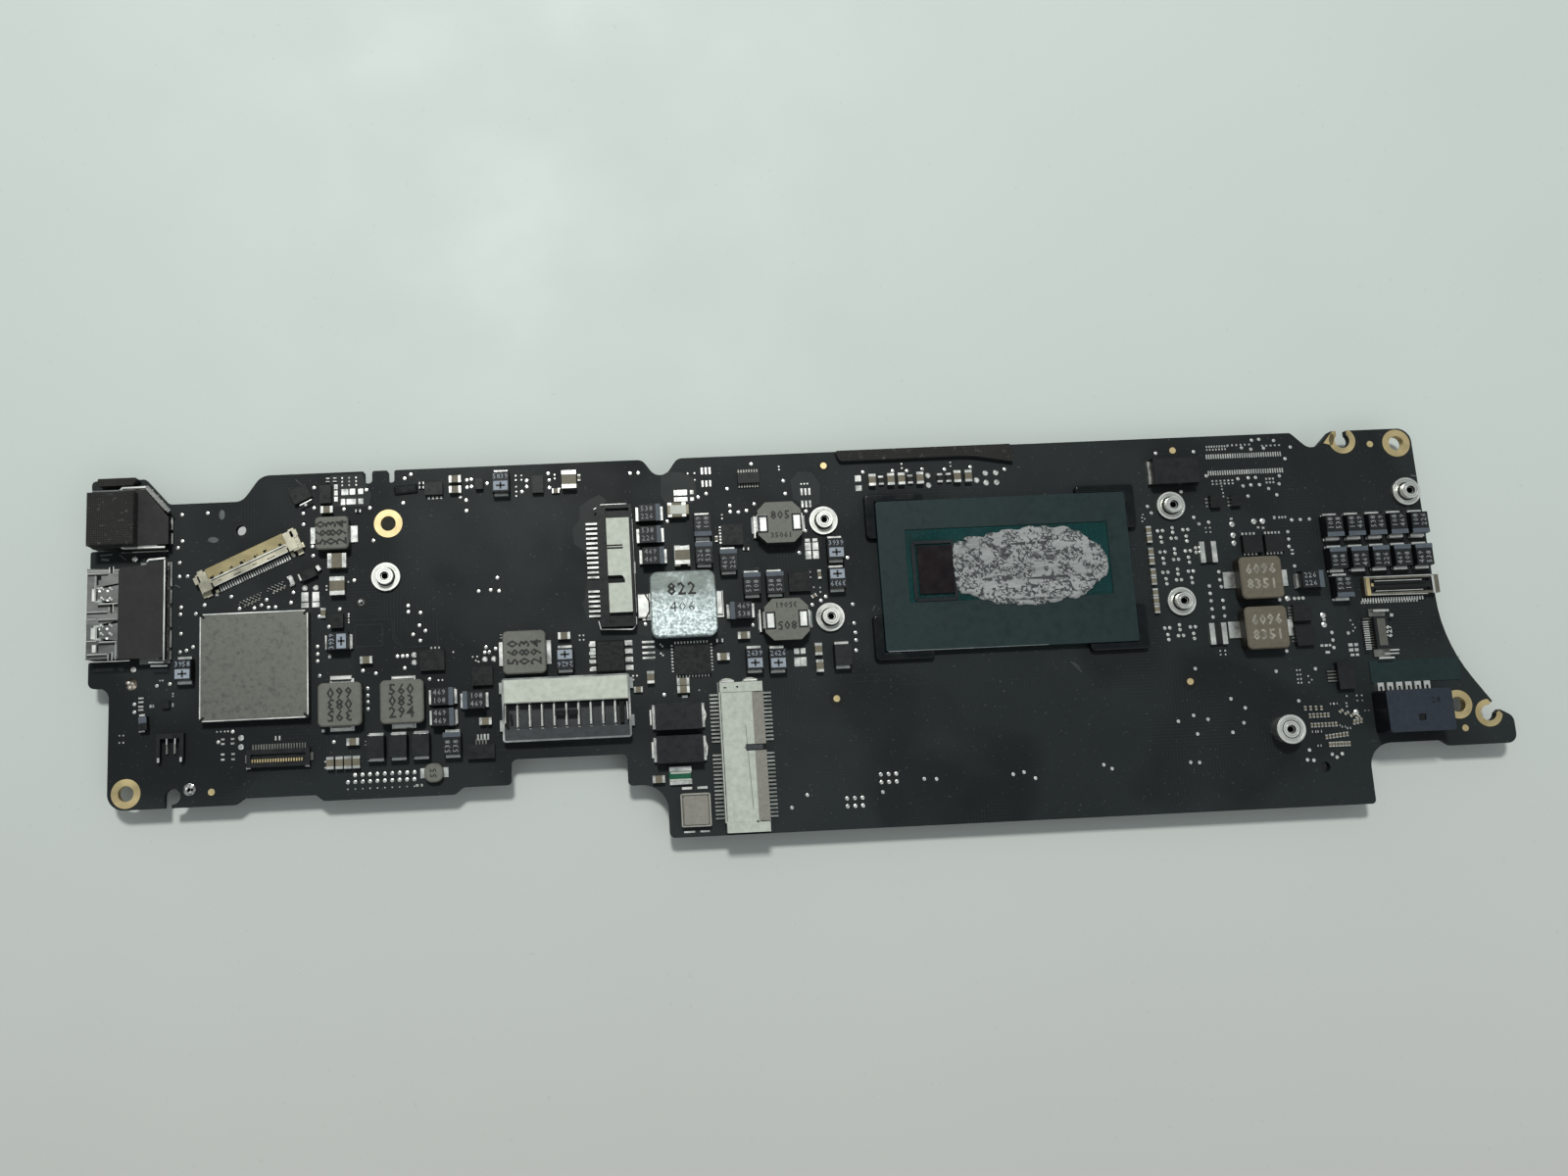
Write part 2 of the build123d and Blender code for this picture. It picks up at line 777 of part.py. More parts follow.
def edge_gasket():
    """Soft strip glued along the back edge, running out to a thin tail."""
    with BuildPart() as gasket:
        with BuildSketch(Plane.XY.offset(top)):
            with BuildLine():
                FilletPolyline(
                    (112.2, board_back - 0.05),
                    (112.9, board_back - 1.75),
                    (134.0, board_back - 1.7),
                    (141.0, board_back - 3.0),
                    (140.6, board_back - 0.05),
                    radius=[0.3, 0.6, 20, 0.3, 0.3],
                    close=True,
                )
            make_face()
        extrude(amount=0.8)
    save(gasket.part, "edge_gasket")


def standoff_group(name, spots, height):
    """Flanged bosses with a thread's bore, standing on the board."""
    with BuildPart() as group:
        with BuildSketch(Plane.XY.offset(top)):
            with Locations(*spots):
                Circle(standoff_flange_radius)
                Circle(standoff_bore_radius, mode=Mode.SUBTRACT)
        extrude(amount=standoff_flange_height)
        with BuildSketch(Plane.XY.offset(top + standoff_flange_height)):
            with Locations(*spots):
                Circle(standoff_boss_radius)
                Circle(standoff_bore_radius, mode=Mode.SUBTRACT)
        extrude(amount=height - standoff_flange_height)
    save(group.part, name)


def standoffs():
    x, y = heat_sink_middle
    half_x = heat_sink_spacing_x / 2
    half_y = heat_sink_spacing_y / 2
    corners = [(x + i * half_x, y + j * half_y) for i in (-1, 1) for j in (-1, 1)]
    standoff_group("heat_sink_standoffs", corners, standoff_height)
    standoff_group("card_standoffs", card_standoff_spots, standoff_height)

    with BuildPart() as tall:
        with BuildSketch(Plane.XY.offset(top)):
            with Locations(drive_standoff_spot):
                Circle(standoff_flange_radius - 0.3)
                Circle(standoff_bore_radius, mode=Mode.SUBTRACT)
        extrude(amount=tall_standoff_height)
        with BuildSketch(Plane.XY.offset(top + tall_standoff_height)):
            with Locations(drive_standoff_spot):
                Circle(standoff_flange_radius)
                Circle(standoff_bore_radius, mode=Mode.SUBTRACT)
        extrude(amount=-standoff_flange_height)
    save(tall.part, "drive_standoff")


def shield_can():
    """Thin folded can over the port controller, open underneath, corners relieved."""
    with BuildPart() as can:
        with BuildSketch(Plane.XY.offset(top)):
            with Locations(shield_middle):
                RectangleRounded(shield_size, shield_size, 0.3)
        extrude(amount=shield_height)
        with BuildSketch(Plane.XY.offset(top)):
            with Locations(shield_middle):
                Rectangle(shield_size - 2 * shield_wall, shield_size - 2 * shield_wall)
        extrude(amount=shield_height - shield_wall, mode=Mode.SUBTRACT)
        # Relief slits where the folded sides meet.
        with BuildSketch(Plane.XY.offset(top + shield_height)):
            with Locations(shield_middle):
                with GridLocations(shield_size, shield_size, 2, 2):
                    Rectangle(shield_slit, shield_slit, rotation=45)
        extrude(amount=-shield_height, mode=Mode.SUBTRACT)
    save(can.part, "port_controller_shield")


def chokes():
    """Moulded chokes, each kind in its own node, and the feet under all of them."""
    turned_spots = [(x, y, 90) for x, y in turned_choke_spots]
    # name, spots, side, height, foot width, foot reach
    families = [
        ("large_choke", [large_choke_spot], large_choke_size, large_choke_height, 4.2, 1.3),
        (
            "power_chokes", [power_choke_spot, *turned_spots],
            power_choke_size, power_choke_height, 3.7, 0.7,
        ),
        ("small_choke", [small_choke_spot], small_choke_size, power_choke_height, 2.6, 1.1),
        ("input_chokes", input_choke_spots, input_choke_size, input_choke_height, 2.6, 1.8),
        ("round_choke", [round_choke_spot], round_choke_size, round_choke_height, 1.5, 0.7),
    ]
    lift = foot_thickness
    for name, spots, size, height, _, _ in families:
        corner = 0.42 * size if size == round_choke_size else 0.12 * size
        save(blocks(spots, size, size, height - lift, top + lift, corner, 0.2), name)
    with BuildPart() as feet:
        with BuildSketch(Plane.XY.offset(top)):
            for _, spots, size, _, width, reach in families:
                for spot in spots:
                    turn = spot[2] if len(spot) > 2 else 0
                    with Locations(Location((spot[0], spot[1]), turn)):
                        with GridLocations(size + reach - foot_inset, 0, 2, 1):
                            Rectangle(foot_inset + reach, width)
        extrude(amount=lift)
    save(feet.part, "choke_feet")

    with BuildPart() as bodies:
        with BuildSketch(Plane.XY.offset(top + foot_thickness)):
            with Locations(*core_choke_spots):
                Rectangle(core_choke_length, core_choke_width)
        extrude(amount=core_choke_height - foot_thickness)
        chamfer(bodies.edges().filter_by(Axis.Z), 1.3)
        # Seats for the strap ends that fold over the top.
        with BuildSketch(Plane.XY.offset(top + core_choke_height)):
            with Locations(*core_choke_spots):
                with GridLocations(core_choke_length - strap_length, 0, 2, 1):
                    Rectangle(strap_length, strap_width)
        extrude(amount=-strap_thickness, mode=Mode.SUBTRACT)
    save(bodies.part, "core_chokes")
    with BuildPart() as straps:
        with BuildSketch(Plane.XY.offset(top + core_choke_height)):
            with Locations(*core_choke_spots):
                with GridLocations(core_choke_length - strap_length, 0, 2, 1):
                    Rectangle(strap_length, strap_width)
        extrude(amount=-strap_thickness)
        with BuildSketch(Plane.XY.offset(top)):
            with Locations(*core_choke_spots):
                with GridLocations(core_choke_length + strap_thickness, 0, 2, 1):
                    Rectangle(strap_thickness, strap_width)
        extrude(amount=core_choke_height)
        with BuildSketch(Plane.XY.offset(top)):
            with Locations(*core_choke_spots):
                with GridLocations(core_choke_length + 0.4, 0, 2, 1):
                    Rectangle(1.2, strap_width)
        extrude(amount=foot_thickness)
    save(straps.part, "core_choke_straps")


def capacitors():
    """Moulded tantalum and polymer capacitors, and the leads folded under their ends."""
    bank = [
        (right_bank_left + i * right_bank_pitch, y) for i in range(5) for y in right_bank_rows
    ]
    tantalums = turned(bank + upright_tantalums, 90) + turned(flat_tantalums, 0)
    polymers = turned(upright_polymers, 90) + turned(flat_polymers, 0)
    moulded = turned(moulded_spots, 0)
    families = [
        ("tantalum_capacitors", tantalums, tantalum_length, tantalum_width, tantalum_height),
        ("polymer_capacitors", polymers, polymer_length, polymer_width, tantalum_height),
        (
            "moulded_capacitors", moulded,
            moulded_cap_length, moulded_cap_width, moulded_cap_height,
        ),
    ]
    for name, spots, length, width, height in families:
        save(moulded_blocks(spots, length, width, height - cap_lift, top + cap_lift), name)
    with BuildPart() as feet:
        for _, spots, length, width, height in families:
            foot_width = width - 2 * cap_foot_inset
            with BuildSketch(Plane.XY.offset(top)):
                for x, y, turn in spots:
                    with Locations(Location((x, y), turn)):
                        with GridLocations(length + solder_foot - foot_tuck, 0, 2, 1):
                            Rectangle(solder_foot + foot_tuck, foot_width)
            extrude(amount=cap_lift)
            with BuildSketch(Plane.XY.offset(top)):
                for x, y, turn in spots:
                    with Locations(Location((x, y), turn)):
                        with GridLocations(length + solder_foot, 0, 2, 1):
                            Rectangle(solder_foot, foot_width)
            extrude(amount=cap_foot_share * height)
    save(feet.part, "capacitor_feet")


def turned(spots, turn):
    """The same spots with a turn in degrees added to each."""
    return [(x, y, turn) for x, y in spots]


def ceramic_capacitors():
    """Small multilayer capacitors: a ceramic body between two plated ends."""
    large = turned(large_ceramics, 0) + turned(large_ceramics_turned, 90)
    medium = turned(medium_ceramics, 0) + turned(medium_ceramics_turned, 90)
    medium += [(x, back_row_y, 90) for x in back_row]
    medium += [(x, front_row_y, 90) for x in front_row]
    column = [(column_x, y, 90) for y in column_rows]
    below = [(below_start + below_pitch * i, y, 0) for i in range(14) for y in below_rows]
    below += [(below_left_start + below_left_pitch * i, below_left_y, 0) for i in range(4)]
    length, width, height = medium_ceramic
    sizes = [
        (large, *large_ceramic, top), (medium, *medium_ceramic, top),
        (column, *small_ceramic, top), (below, length, width, -height, 0.0),
    ]
    with BuildPart() as bodies:
        for spots, length, width, height, base in sizes:
            with BuildSketch(Plane.XY.offset(base)):
                for x, y, turn in spots:
                    with Locations(Location((x, y), turn)):
                        Rectangle((1 - 2 * plated_share) * length, width)
            extrude(amount=height)
    save(bodies.part, "ceramic_capacitors")
    with BuildPart() as ends:
        for spots, length, width, height, base in sizes:
            with BuildSketch(Plane.XY.offset(base)):
                for x, y, turn in spots:
                    with Locations(Location((x, y), turn)):
                        with GridLocations((1 - plated_share) * length, 0, 2, 1):
                            Rectangle(plated_share * length, width)
            extrude(amount=height)
    save(ends.part, "ceramic_capacitor_ends")


def resistors():
    """Current-sense resistors: a thin body with a broad plated terminal each side."""
    spots = turned(resistor_spots, 0) + turned([turned_resistor_spot], 90)
    save(blocks(spots, resistor_length, resistor_width, resistor_height, top), "sense_resistors")
    terminals = end_feet(
        spots, resistor_length, resistor_width + 0.1, terminal_height, top, terminal_length
    )
    save(terminals, "sense_resistor_terminals")


def crystal():
    """Timing crystal: a ceramic base under a smaller welded lid."""
    length, width = crystal_size
    shrink = 2 * crystal_lid_margin
    with BuildPart() as can:
        with BuildSketch(Plane.XY.offset(top)):
            with Locations(crystal_middle):
                RectangleRounded(length, width, 0.4)
        extrude(amount=crystal_base_height)
        with BuildSketch(Plane.XY.offset(top + crystal_base_height)):
            with Locations(crystal_middle):
                RectangleRounded(length - shrink, width - shrink, 0.3)
        extrude(amount=crystal_lid_height)
    save(can.part, "crystal_can")


def chips():
    """Leadless controllers and switches, and one leaded eight-pin chip."""
    quad = [
        (87.7, 16.7, 5.6, 4.8), (95.0, 36.1, 3.4, 3.3), (105.2, 28.1, 3.4, 3.1),
        (board_right - 38.4, 31.0, 3.1, 2.9), (board_right - 34.8, 31.0, 3.1, 2.9),
        (board_right - 31.8, 15.9, 2.9, 3.0), (board_right - 31.8, 19.6, 2.9, 2.6),
        (47.2, 18.3, 3.8, 3.2), (54.9, 15.5, 3.2, 2.9),
        (30.9, 45.4, 1.8, 2.9), (48.0, 45.6, 2.8, 2.0), (55.2, 46.1, 1.2, 1.8),
        (64.5, 45.6, 1.8, 2.8), (32.5, 25.1, 2.0, 2.2),
        (board_right - 43.5, 38.1, 1.6, 2.0), (board_right - 40.2, 38.1, 1.6, 1.8),
    ]
    with BuildPart() as bodies:
        with BuildSketch(Plane.XY.offset(top)):
            for x, y, length, width in quad:
                with Locations((x, y)):
                    Rectangle(length, width)
            with Locations(Location(diode_place, diode_turn)):
                Rectangle(*diode_size)
            with Locations(Location(driver_place, driver_turn)):
                Rectangle(*driver_size)
        extrude(amount=controller_height)
    save(bodies.part, "power_controllers")

    body = blocks([audio_middle], audio_length, audio_width, audio_height, top + cap_lift, 0, 0.2)
    save(body, "audio_amplifier")
    lead_length, lead_width, lead_height = audio_lead
    with BuildPart() as leads:
        with BuildSketch(Plane.XY.offset(top)):
            with Locations(audio_middle):
                with GridLocations(audio_length + lead_length, audio_pitch, 2, 4):
                    Rectangle(lead_length, lead_width)
        extrude(amount=lead_height)
    save(leads.part, "audio_amplifier_leads")


def drive_connector():
    """Edge-card socket of the storage drive: housing with a keyed bevel, and two pin rows."""
    x, y = drive_middle
    half = drive_width / 2
    with BuildPart() as housing:
        with BuildSketch(Plane.XZ.offset(-(y + drive_length / 2))):
            with BuildLine():
                Polyline(
                    (x - half, top),
                    (x + half, top),
                    (x + half, top + 0.5 * drive_height),
                    (x + half - drive_bevel, top + drive_height),
                    (x - half, top + drive_height),
                    close=True,
                )
            make_face()
        extrude(amount=drive_length)
        with BuildSketch(Plane.XY.offset(top + drive_height)):
            with Locations((x + half - 1.2, y + 0.9)):
                SlotOverall(*drive_key)
        extrude(amount=-0.8 * drive_height, mode=Mode.SUBTRACT)
        # Slot that the drive's card edge enters, along +X to -X.
        with BuildSketch(Plane.YZ.offset(x + half)):
            with Locations((y, top + 1.0)):
                Rectangle(drive_length - 1.2, card_edge_slot)
        extrude(amount=-drive_slot_depth, mode=Mode.SUBTRACT)
    save(housing.part, "drive_connector_housing")

    with BuildPart() as bars:
        with BuildSketch(Plane.XY.offset(top)):
            for side in (-1, 1):
                bar_y = y + side * (drive_length / 2 + end_bar_width / 2)
                with Locations((x, bar_y)):
                    Rectangle(drive_width - 0.4, end_bar_width)
        extrude(amount=drive_height + 0.1)
        # Board locks: two low arches of strip behind the far bar.
        bar_back = y + drive_length / 2 + end_bar_width
        with BuildSketch(Plane.XY.offset(top)):
            with Locations((x - 0.2, bar_back)):
                with GridLocations(lock_spacing, 0, 2, 1):
                    Ellipse(lock_spacing / 3, lock_reach)
                    Ellipse(lock_spacing / 3 - 0.35, lock_reach - 0.35, mode=Mode.SUBTRACT)
            with Locations((x, bar_back - lock_reach)):
                Rectangle(drive_width, 2 * lock_reach, mode=Mode.SUBTRACT)
        extrude(amount=0.6)
    save(bars.part, "drive_connector_end_bars")

    with BuildPart() as pins:
        with BuildSketch(Plane.XY.offset(top)):
            for group_y, count in ((7.3, 13), (-3.2, 17)):
                with Locations((x, group_y)):
                    with GridLocations(drive_width + 1.3, drive_pitch, 2, count):
                        Rectangle(1.3, 0.28)
        extrude(amount=0.3)
    save(pins.part, "drive_connector_contacts")


def card_connector():
    """Socket of the wireless card, with a pale cover over most of its length."""
    x, y = card_middle
    with BuildPart() as housing:
        with BuildSketch(Plane.XY.offset(top)):
            with Locations((x, y)):
                Rectangle(card_width, card_length)
        extrude(amount=card_height)
        with BuildSketch(Plane.XY.offset(top + card_height)):
            with Locations((x + 0.5, y)):
                Rectangle(card_width - 1.8, card_length - 1.2)
        extrude(amount=-0.3 * card_height, mode=Mode.SUBTRACT)
        # Slot that the wireless card's edge enters from the left.
        with BuildSketch(Plane.YZ.offset(x - card_width / 2)):
            with Locations((y, top + 0.8)):
                Rectangle(card_length - 1.2, card_edge_slot)
        extrude(amount=4.0, mode=Mode.SUBTRACT)
    save(housing.part, "card_connector_housing")

    with BuildPart() as cover:
        with BuildSketch(Plane.XY.offset(top + 0.7 * card_height)):
            with Locations((x + 0.5, y)):
                Rectangle(card_width - 1.9, card_length - 4.4)
            with Locations((x - 0.3, y - 2.2)):
                SlotOverall(2.9, 1.1, mode=Mode.SUBTRACT)
            with Locations((x - 0.3, y + 3.1)):
                SlotOverall(2.9, 0.25, mode=Mode.SUBTRACT)
        extrude(amount=0.3 * card_height + 0.2)
    save(cover.part, "card_connector_cover")

    with BuildPart() as pins:
        with BuildSketch(Plane.XY.offset(top)):
            for group_y, count in ((y + 2.7, 12), (y - 5.8, 6)):
                with Locations((x - card_width / 2 - 0.9, group_y)):
                    with GridLocations(0, card_pitch, 1, count):
                        Rectangle(1.8, 0.32)
        extrude(amount=0.35)
    save(pins.part, "card_connector_contacts")


def battery_connector():
    """Blade socket: a dark trough, upright blades, a pale cover and a metal frame."""
    x, y = battery_middle
    back = y + battery_width / 2
    front = y - battery_width / 2
    with BuildPart() as housing:
        with BuildSketch(Plane.XY.offset(top)):
            with Locations((x, y)):
                Rectangle(battery_length, battery_width)
        extrude(amount=0.5)
        with BuildSketch(Plane.XY.offset(top + 0.5)):
            with Locations((x, front + battery_lip / 2)):
                Rectangle(battery_length, battery_lip)
            with Locations((x, back - battery_cover_width / 2)):
                Rectangle(battery_length, battery_cover_width)
        extrude(amount=battery_height - 1.0)
    save(housing.part, "battery_connector_housing")

    cover = blocks(
        [(x, back - battery_cover_width / 2)],
        battery_length,
        battery_cover_width,
        0.5,
        top + battery_height - 0.5,
        0,
        0.15,
    )
    save(cover, "battery_connector_cover")

    blade_length = battery_width - battery_lip - battery_cover_width
    blade_y = front + battery_lip + blade_length / 2
    with BuildPart() as blades:
        with BuildSketch(Plane.XY.offset(top + 0.5)):
            with Locations((x, blade_y)):
                with GridLocations(battery_pitch, 0, 9, 1):
                    Rectangle(0.4, blade_length)
        extrude(amount=battery_height - 1.3)
    save(blades.part, "battery_connector_contacts")

    wall = 0.3
    with BuildPart() as frame:
        with BuildSketch(Plane.XY.offset(top)):
            with Locations((x, y)):
                RectangleRounded(battery_length + 2 * wall, battery_width + 2 * wall, 0.5)
                Rectangle(battery_length, battery_width, mode=Mode.SUBTRACT)
        extrude(amount=battery_height - 0.6)
        with BuildSketch(Plane.XY.offset(top)):
            with Locations((x, y + 0.6)):
                with GridLocations(battery_length + 2 * wall + 0.5, 5.8, 2, 2):
                    Rectangle(0.5, 1.7)
        extrude(amount=0.6)
    save(frame.part, "battery_connector_frame")


def display_connector():
    """Fine-pitch socket set at an angle, with a gold-plated shell and end brackets."""
    place = Plane.XY.offset(top)
    spot = Location(display_middle, display_turn)
    length = display_length
    width = display_width
    with BuildPart() as housing:
        with BuildSketch(place):
            with Locations(spot):
                Rectangle(length, width)
        extrude(amount=display_height)
        with BuildSketch(Plane.XY.offset(top + display_height)):
            with Locations(spot):
                with Locations((0, -0.35 * width)):
                    Rectangle(length - 1.0, 0.3 * width)
        extrude(amount=-0.5, mode=Mode.SUBTRACT)
    save(housing.part, "display_connector_housing")

    with BuildPart() as shell:
        with BuildSketch(Plane.XY.offset(top + display_height)):
            with Locations(spot):
                with Locations((0, 0.15 * width)):
                    Rectangle(length, 0.7 * width)
        extrude(amount=0.15)
        with BuildSketch(place):
            with Locations(spot):
                with GridLocations(length + bracket_length, 0, 2, 1):
                    Rectangle(bracket_length, width + 0.4)
        extrude(amount=display_height + 0.15)
        with BuildSketch(place):
            with Locations(spot):
                with GridLocations(length + bracket_length, width + 1.1, 2, 2):
                    Rectangle(0.9, 0.7)
        extrude(amount=0.35)
    save(shell.part, "display_connector_shell")

    with BuildPart() as pins:
        with BuildSketch(place):
            with Locations(spot):
                with Locations((0, -width / 2 - 0.45)):
                    with GridLocations(display_pin_pitch, 0, display_pins, 1):
                        Rectangle(0.2, 0.9)
        extrude(amount=0.25)
    save(pins.part, "display_connector_contacts")


def side_board_connector():
    """Low board-to-board socket at the right-hand edge: metal rim round two pin rows."""
    x, y = side_board_middle
    length = side_board_length
    width = side_board_width
    with BuildPart() as rim:
        with BuildSketch(Plane.XY.offset(top)):
            with Locations((x, y)):
                Rectangle(length, width)
                Rectangle(length - 1.6, width - 0.7, mode=Mode.SUBTRACT)
        extrude(amount=1.0)
    save(rim.part, "side_board_connector_rim")

    with BuildPart() as core:
        with BuildSketch(Plane.XY.offset(top)):
            with Locations((x, y)):
                Rectangle(length - 1.6, width - 0.7)
        extrude(amount=0.8)
        with BuildSketch(Plane.XY.offset(top + 0.8)):
            with Locations((x, y)):
                with GridLocations(0, 1.4, 1, 2):
                    Rectangle(length - 2.8, 0.45)
        extrude(amount=-0.4, mode=Mode.SUBTRACT)
    save(core.part, "side_board_connector_core")


def fan_connector():
    x, y = fan_middle
    with BuildPart() as housing:
        with BuildSketch(Plane.XY.offset(top)):
            with Locations((x, y)):
                Rectangle(fan_length, fan_width)
        extrude(amount=fan_height)
        chamfer(housing.edges().filter_by(Axis.Z), 0.3)
        with BuildSketch(Plane.XY.offset(top + fan_height)):
            with Locations((x + 0.15, y - 1.05)):
                Rectangle(0.9, 0.9)
        extrude(amount=-1.2, mode=Mode.SUBTRACT)
    save(housing.part, "fan_connector_housing")

    with BuildPart() as pins:
        with BuildSketch(Plane.XY.offset(top)):
            with Locations((x - 0.35, y + fan_width / 2 + 0.65)):
                with GridLocations(fan_pitch, 0, 6, 1):
                    Rectangle(1.0, 1.3)
                    with Locations((0, -0.3)):
                        Rectangle(0.35, 0.7, mode=Mode.SUBTRACT)
        extrude(amount=0.9)
    save(pins.part, "fan_connector_contacts")


def ribbon_connectors():
    """The small flat-cable and microphone sockets, and all their contacts."""
    sockets = [
        (backlight_middle, backlight_size), (fan_side_middle, fan_side_size),
        (hinge_middle, hinge_size), (keyboard_light_middle, keyboard_light_size),
        (trackpad_middle, trackpad_size),
    ]
    mic_x, mic_y = microphone_middle
    mic_length, mic_width = microphone_size
    mouth = (mic_length - 2 * microphone_wall, mic_width - microphone_back_wall)
    with BuildPart() as housings:
        with BuildSketch(Plane.XY.offset(top)):
            for middle, size in sockets:
                with Locations(middle):
                    Rectangle(*size)
            # The microphone socket is open towards the front.
            with Locations(microphone_middle):
                Rectangle(*microphone_size)
            with Locations((mic_x, mic_y - microphone_back_wall / 2 - 0.25)):
                Rectangle(mouth[0], mouth[1] - 0.5, mode=Mode.SUBTRACT)
        extrude(amount=socket_height)
        with BuildSketch(Plane.XY.offset(top + socket_height)):
            with Locations(trackpad_middle):
                Rectangle(*trackpad_groove)
        extrude(amount=-socket_groove_depth, mode=Mode.SUBTRACT)
    save(housings.part, "ribbon_connector_housings")

    with BuildPart() as contacts:
        with BuildSketch(Plane.XY.offset(top)):
            pins_behind(trackpad_middle, trackpad_size, trackpad_pins, fine_pin_pitch)
            pins_behind(backlight_middle, backlight_size, backlight_pins, coarse_pin_pitch)
            pins_left(fan_side_middle, fan_side_size, fan_side_pins, coarse_pin_pitch)
            pins_left(hinge_middle, hinge_size, hinge_pins, fine_pin_pitch)
            with Locations(keyboard_light_middle):
                with GridLocations(
                    fine_pin_pitch, keyboard_light_size[1] + 0.6, keyboard_light_pins, 2
                ):
                    Rectangle(fine_pin_width, 0.6)
            # Solder tabs at the ends of the hinge cable's and the trackpad's sockets.
            with Locations(hinge_middle):
                with GridLocations(0, hinge_size[1] + 1.2, 1, 2):
                    Rectangle(2.6, 1.2)
            with Locations(trackpad_middle):
                with GridLocations(trackpad_size[0] + 0.4, 0, 2, 1):
                    Rectangle(0.4, 1.2)
        extrude(amount=socket_pin_height)
        with BuildSketch(Plane.XY.offset(top)):
            with Locations(microphone_middle):
                with GridLocations(1.2, 0, 2, 1):
                    Rectangle(0.3, 2.1)
        extrude(amount=0.4)
    save(contacts.part, "ribbon_connector_contacts")


def pins_behind(middle, size, count, pitch):
    """Draw a row of pins along the back edge of a socket."""
    with Locations((middle[0], middle[1] + size[1] / 2 + 0.4)):
        with GridLocations(pitch, 0, count, 1):
            Rectangle(fine_pin_width, 0.8)


def pins_left(middle, size, count, pitch):
    """Draw a row of pins along the left edge of a socket."""
    with Locations((middle[0] - size[0] / 2 - 0.7, middle[1])):
        with GridLocations(0, pitch, 1, count):
            Rectangle(1.4, fine_pin_width)


def underside():
    """What the board carries below: memory, a system controller and decoupling."""
    with BuildPart() as memory:
        with BuildSketch():
            with Locations((heat_sink_middle[0], package_middle[1])):
                with GridLocations(memory_pitch, 0, 4, 1):
                    RectangleRounded(memory_length, memory_width, 0.2)
        extrude(amount=-memory_height)
    save(memory.part, "memory_chips")

    with BuildPart() as controllers:
        with BuildSketch():
            with Locations(*system_chip_spots):
                RectangleRounded(system_chip_size, system_chip_size, 0.2)
            with Locations(*helper_chip_spots):
                Rectangle(helper_chip_size, helper_chip_size)
        extrude(amount=-under_chip_height)
    save(controllers.part, "underside_controllers")


os.makedirs("parts", exist_ok=True)
circuit_board()
plated_hole_rings()
usb_port()
video_port()
films_and_foam()
processor()
edge_gasket()
standoffs()
shield_can()
chokes()
capacitors()
ceramic_capacitors()
resistors()
crystal()
chips()
drive_connector()
card_connector()
battery_connector()
display_connector()
side_board_connector()
fan_connector()
ribbon_connectors()
underside()
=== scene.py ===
import math
import random

import bpy
from mathutils import Euler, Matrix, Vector, noise


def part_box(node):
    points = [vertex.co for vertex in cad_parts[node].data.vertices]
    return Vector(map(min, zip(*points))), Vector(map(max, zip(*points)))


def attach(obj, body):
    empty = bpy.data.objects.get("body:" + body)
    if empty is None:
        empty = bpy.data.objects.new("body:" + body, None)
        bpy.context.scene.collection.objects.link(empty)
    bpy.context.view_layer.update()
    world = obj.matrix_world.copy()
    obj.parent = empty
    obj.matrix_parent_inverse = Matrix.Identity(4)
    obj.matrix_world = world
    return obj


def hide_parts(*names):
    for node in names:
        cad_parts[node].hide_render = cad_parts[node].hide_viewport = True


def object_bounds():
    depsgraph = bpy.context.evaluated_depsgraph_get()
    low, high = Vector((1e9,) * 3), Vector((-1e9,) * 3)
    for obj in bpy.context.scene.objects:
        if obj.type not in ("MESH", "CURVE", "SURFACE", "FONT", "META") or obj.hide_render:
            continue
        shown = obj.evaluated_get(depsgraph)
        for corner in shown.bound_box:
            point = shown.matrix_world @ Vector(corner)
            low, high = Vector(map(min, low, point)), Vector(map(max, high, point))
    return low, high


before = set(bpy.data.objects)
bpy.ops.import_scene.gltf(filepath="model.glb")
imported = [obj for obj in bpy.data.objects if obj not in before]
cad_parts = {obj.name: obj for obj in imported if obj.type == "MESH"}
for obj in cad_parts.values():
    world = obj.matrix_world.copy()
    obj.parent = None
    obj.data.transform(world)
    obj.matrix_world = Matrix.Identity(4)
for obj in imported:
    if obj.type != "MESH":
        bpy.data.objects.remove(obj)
cad_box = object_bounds()

# Lengths below are in millimetres and turned into metres by MM.
MM = 0.001
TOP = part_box("circuit_board")[1].z / MM  # height of the board's upper face
SKIN = 0.02  # thickness of bare pads and dots
# Where the photo's camera stands, over the board's upper face.
EYE_X, EYE_Y, EYE_HEIGHT = 76.02, 1.41, 183.68


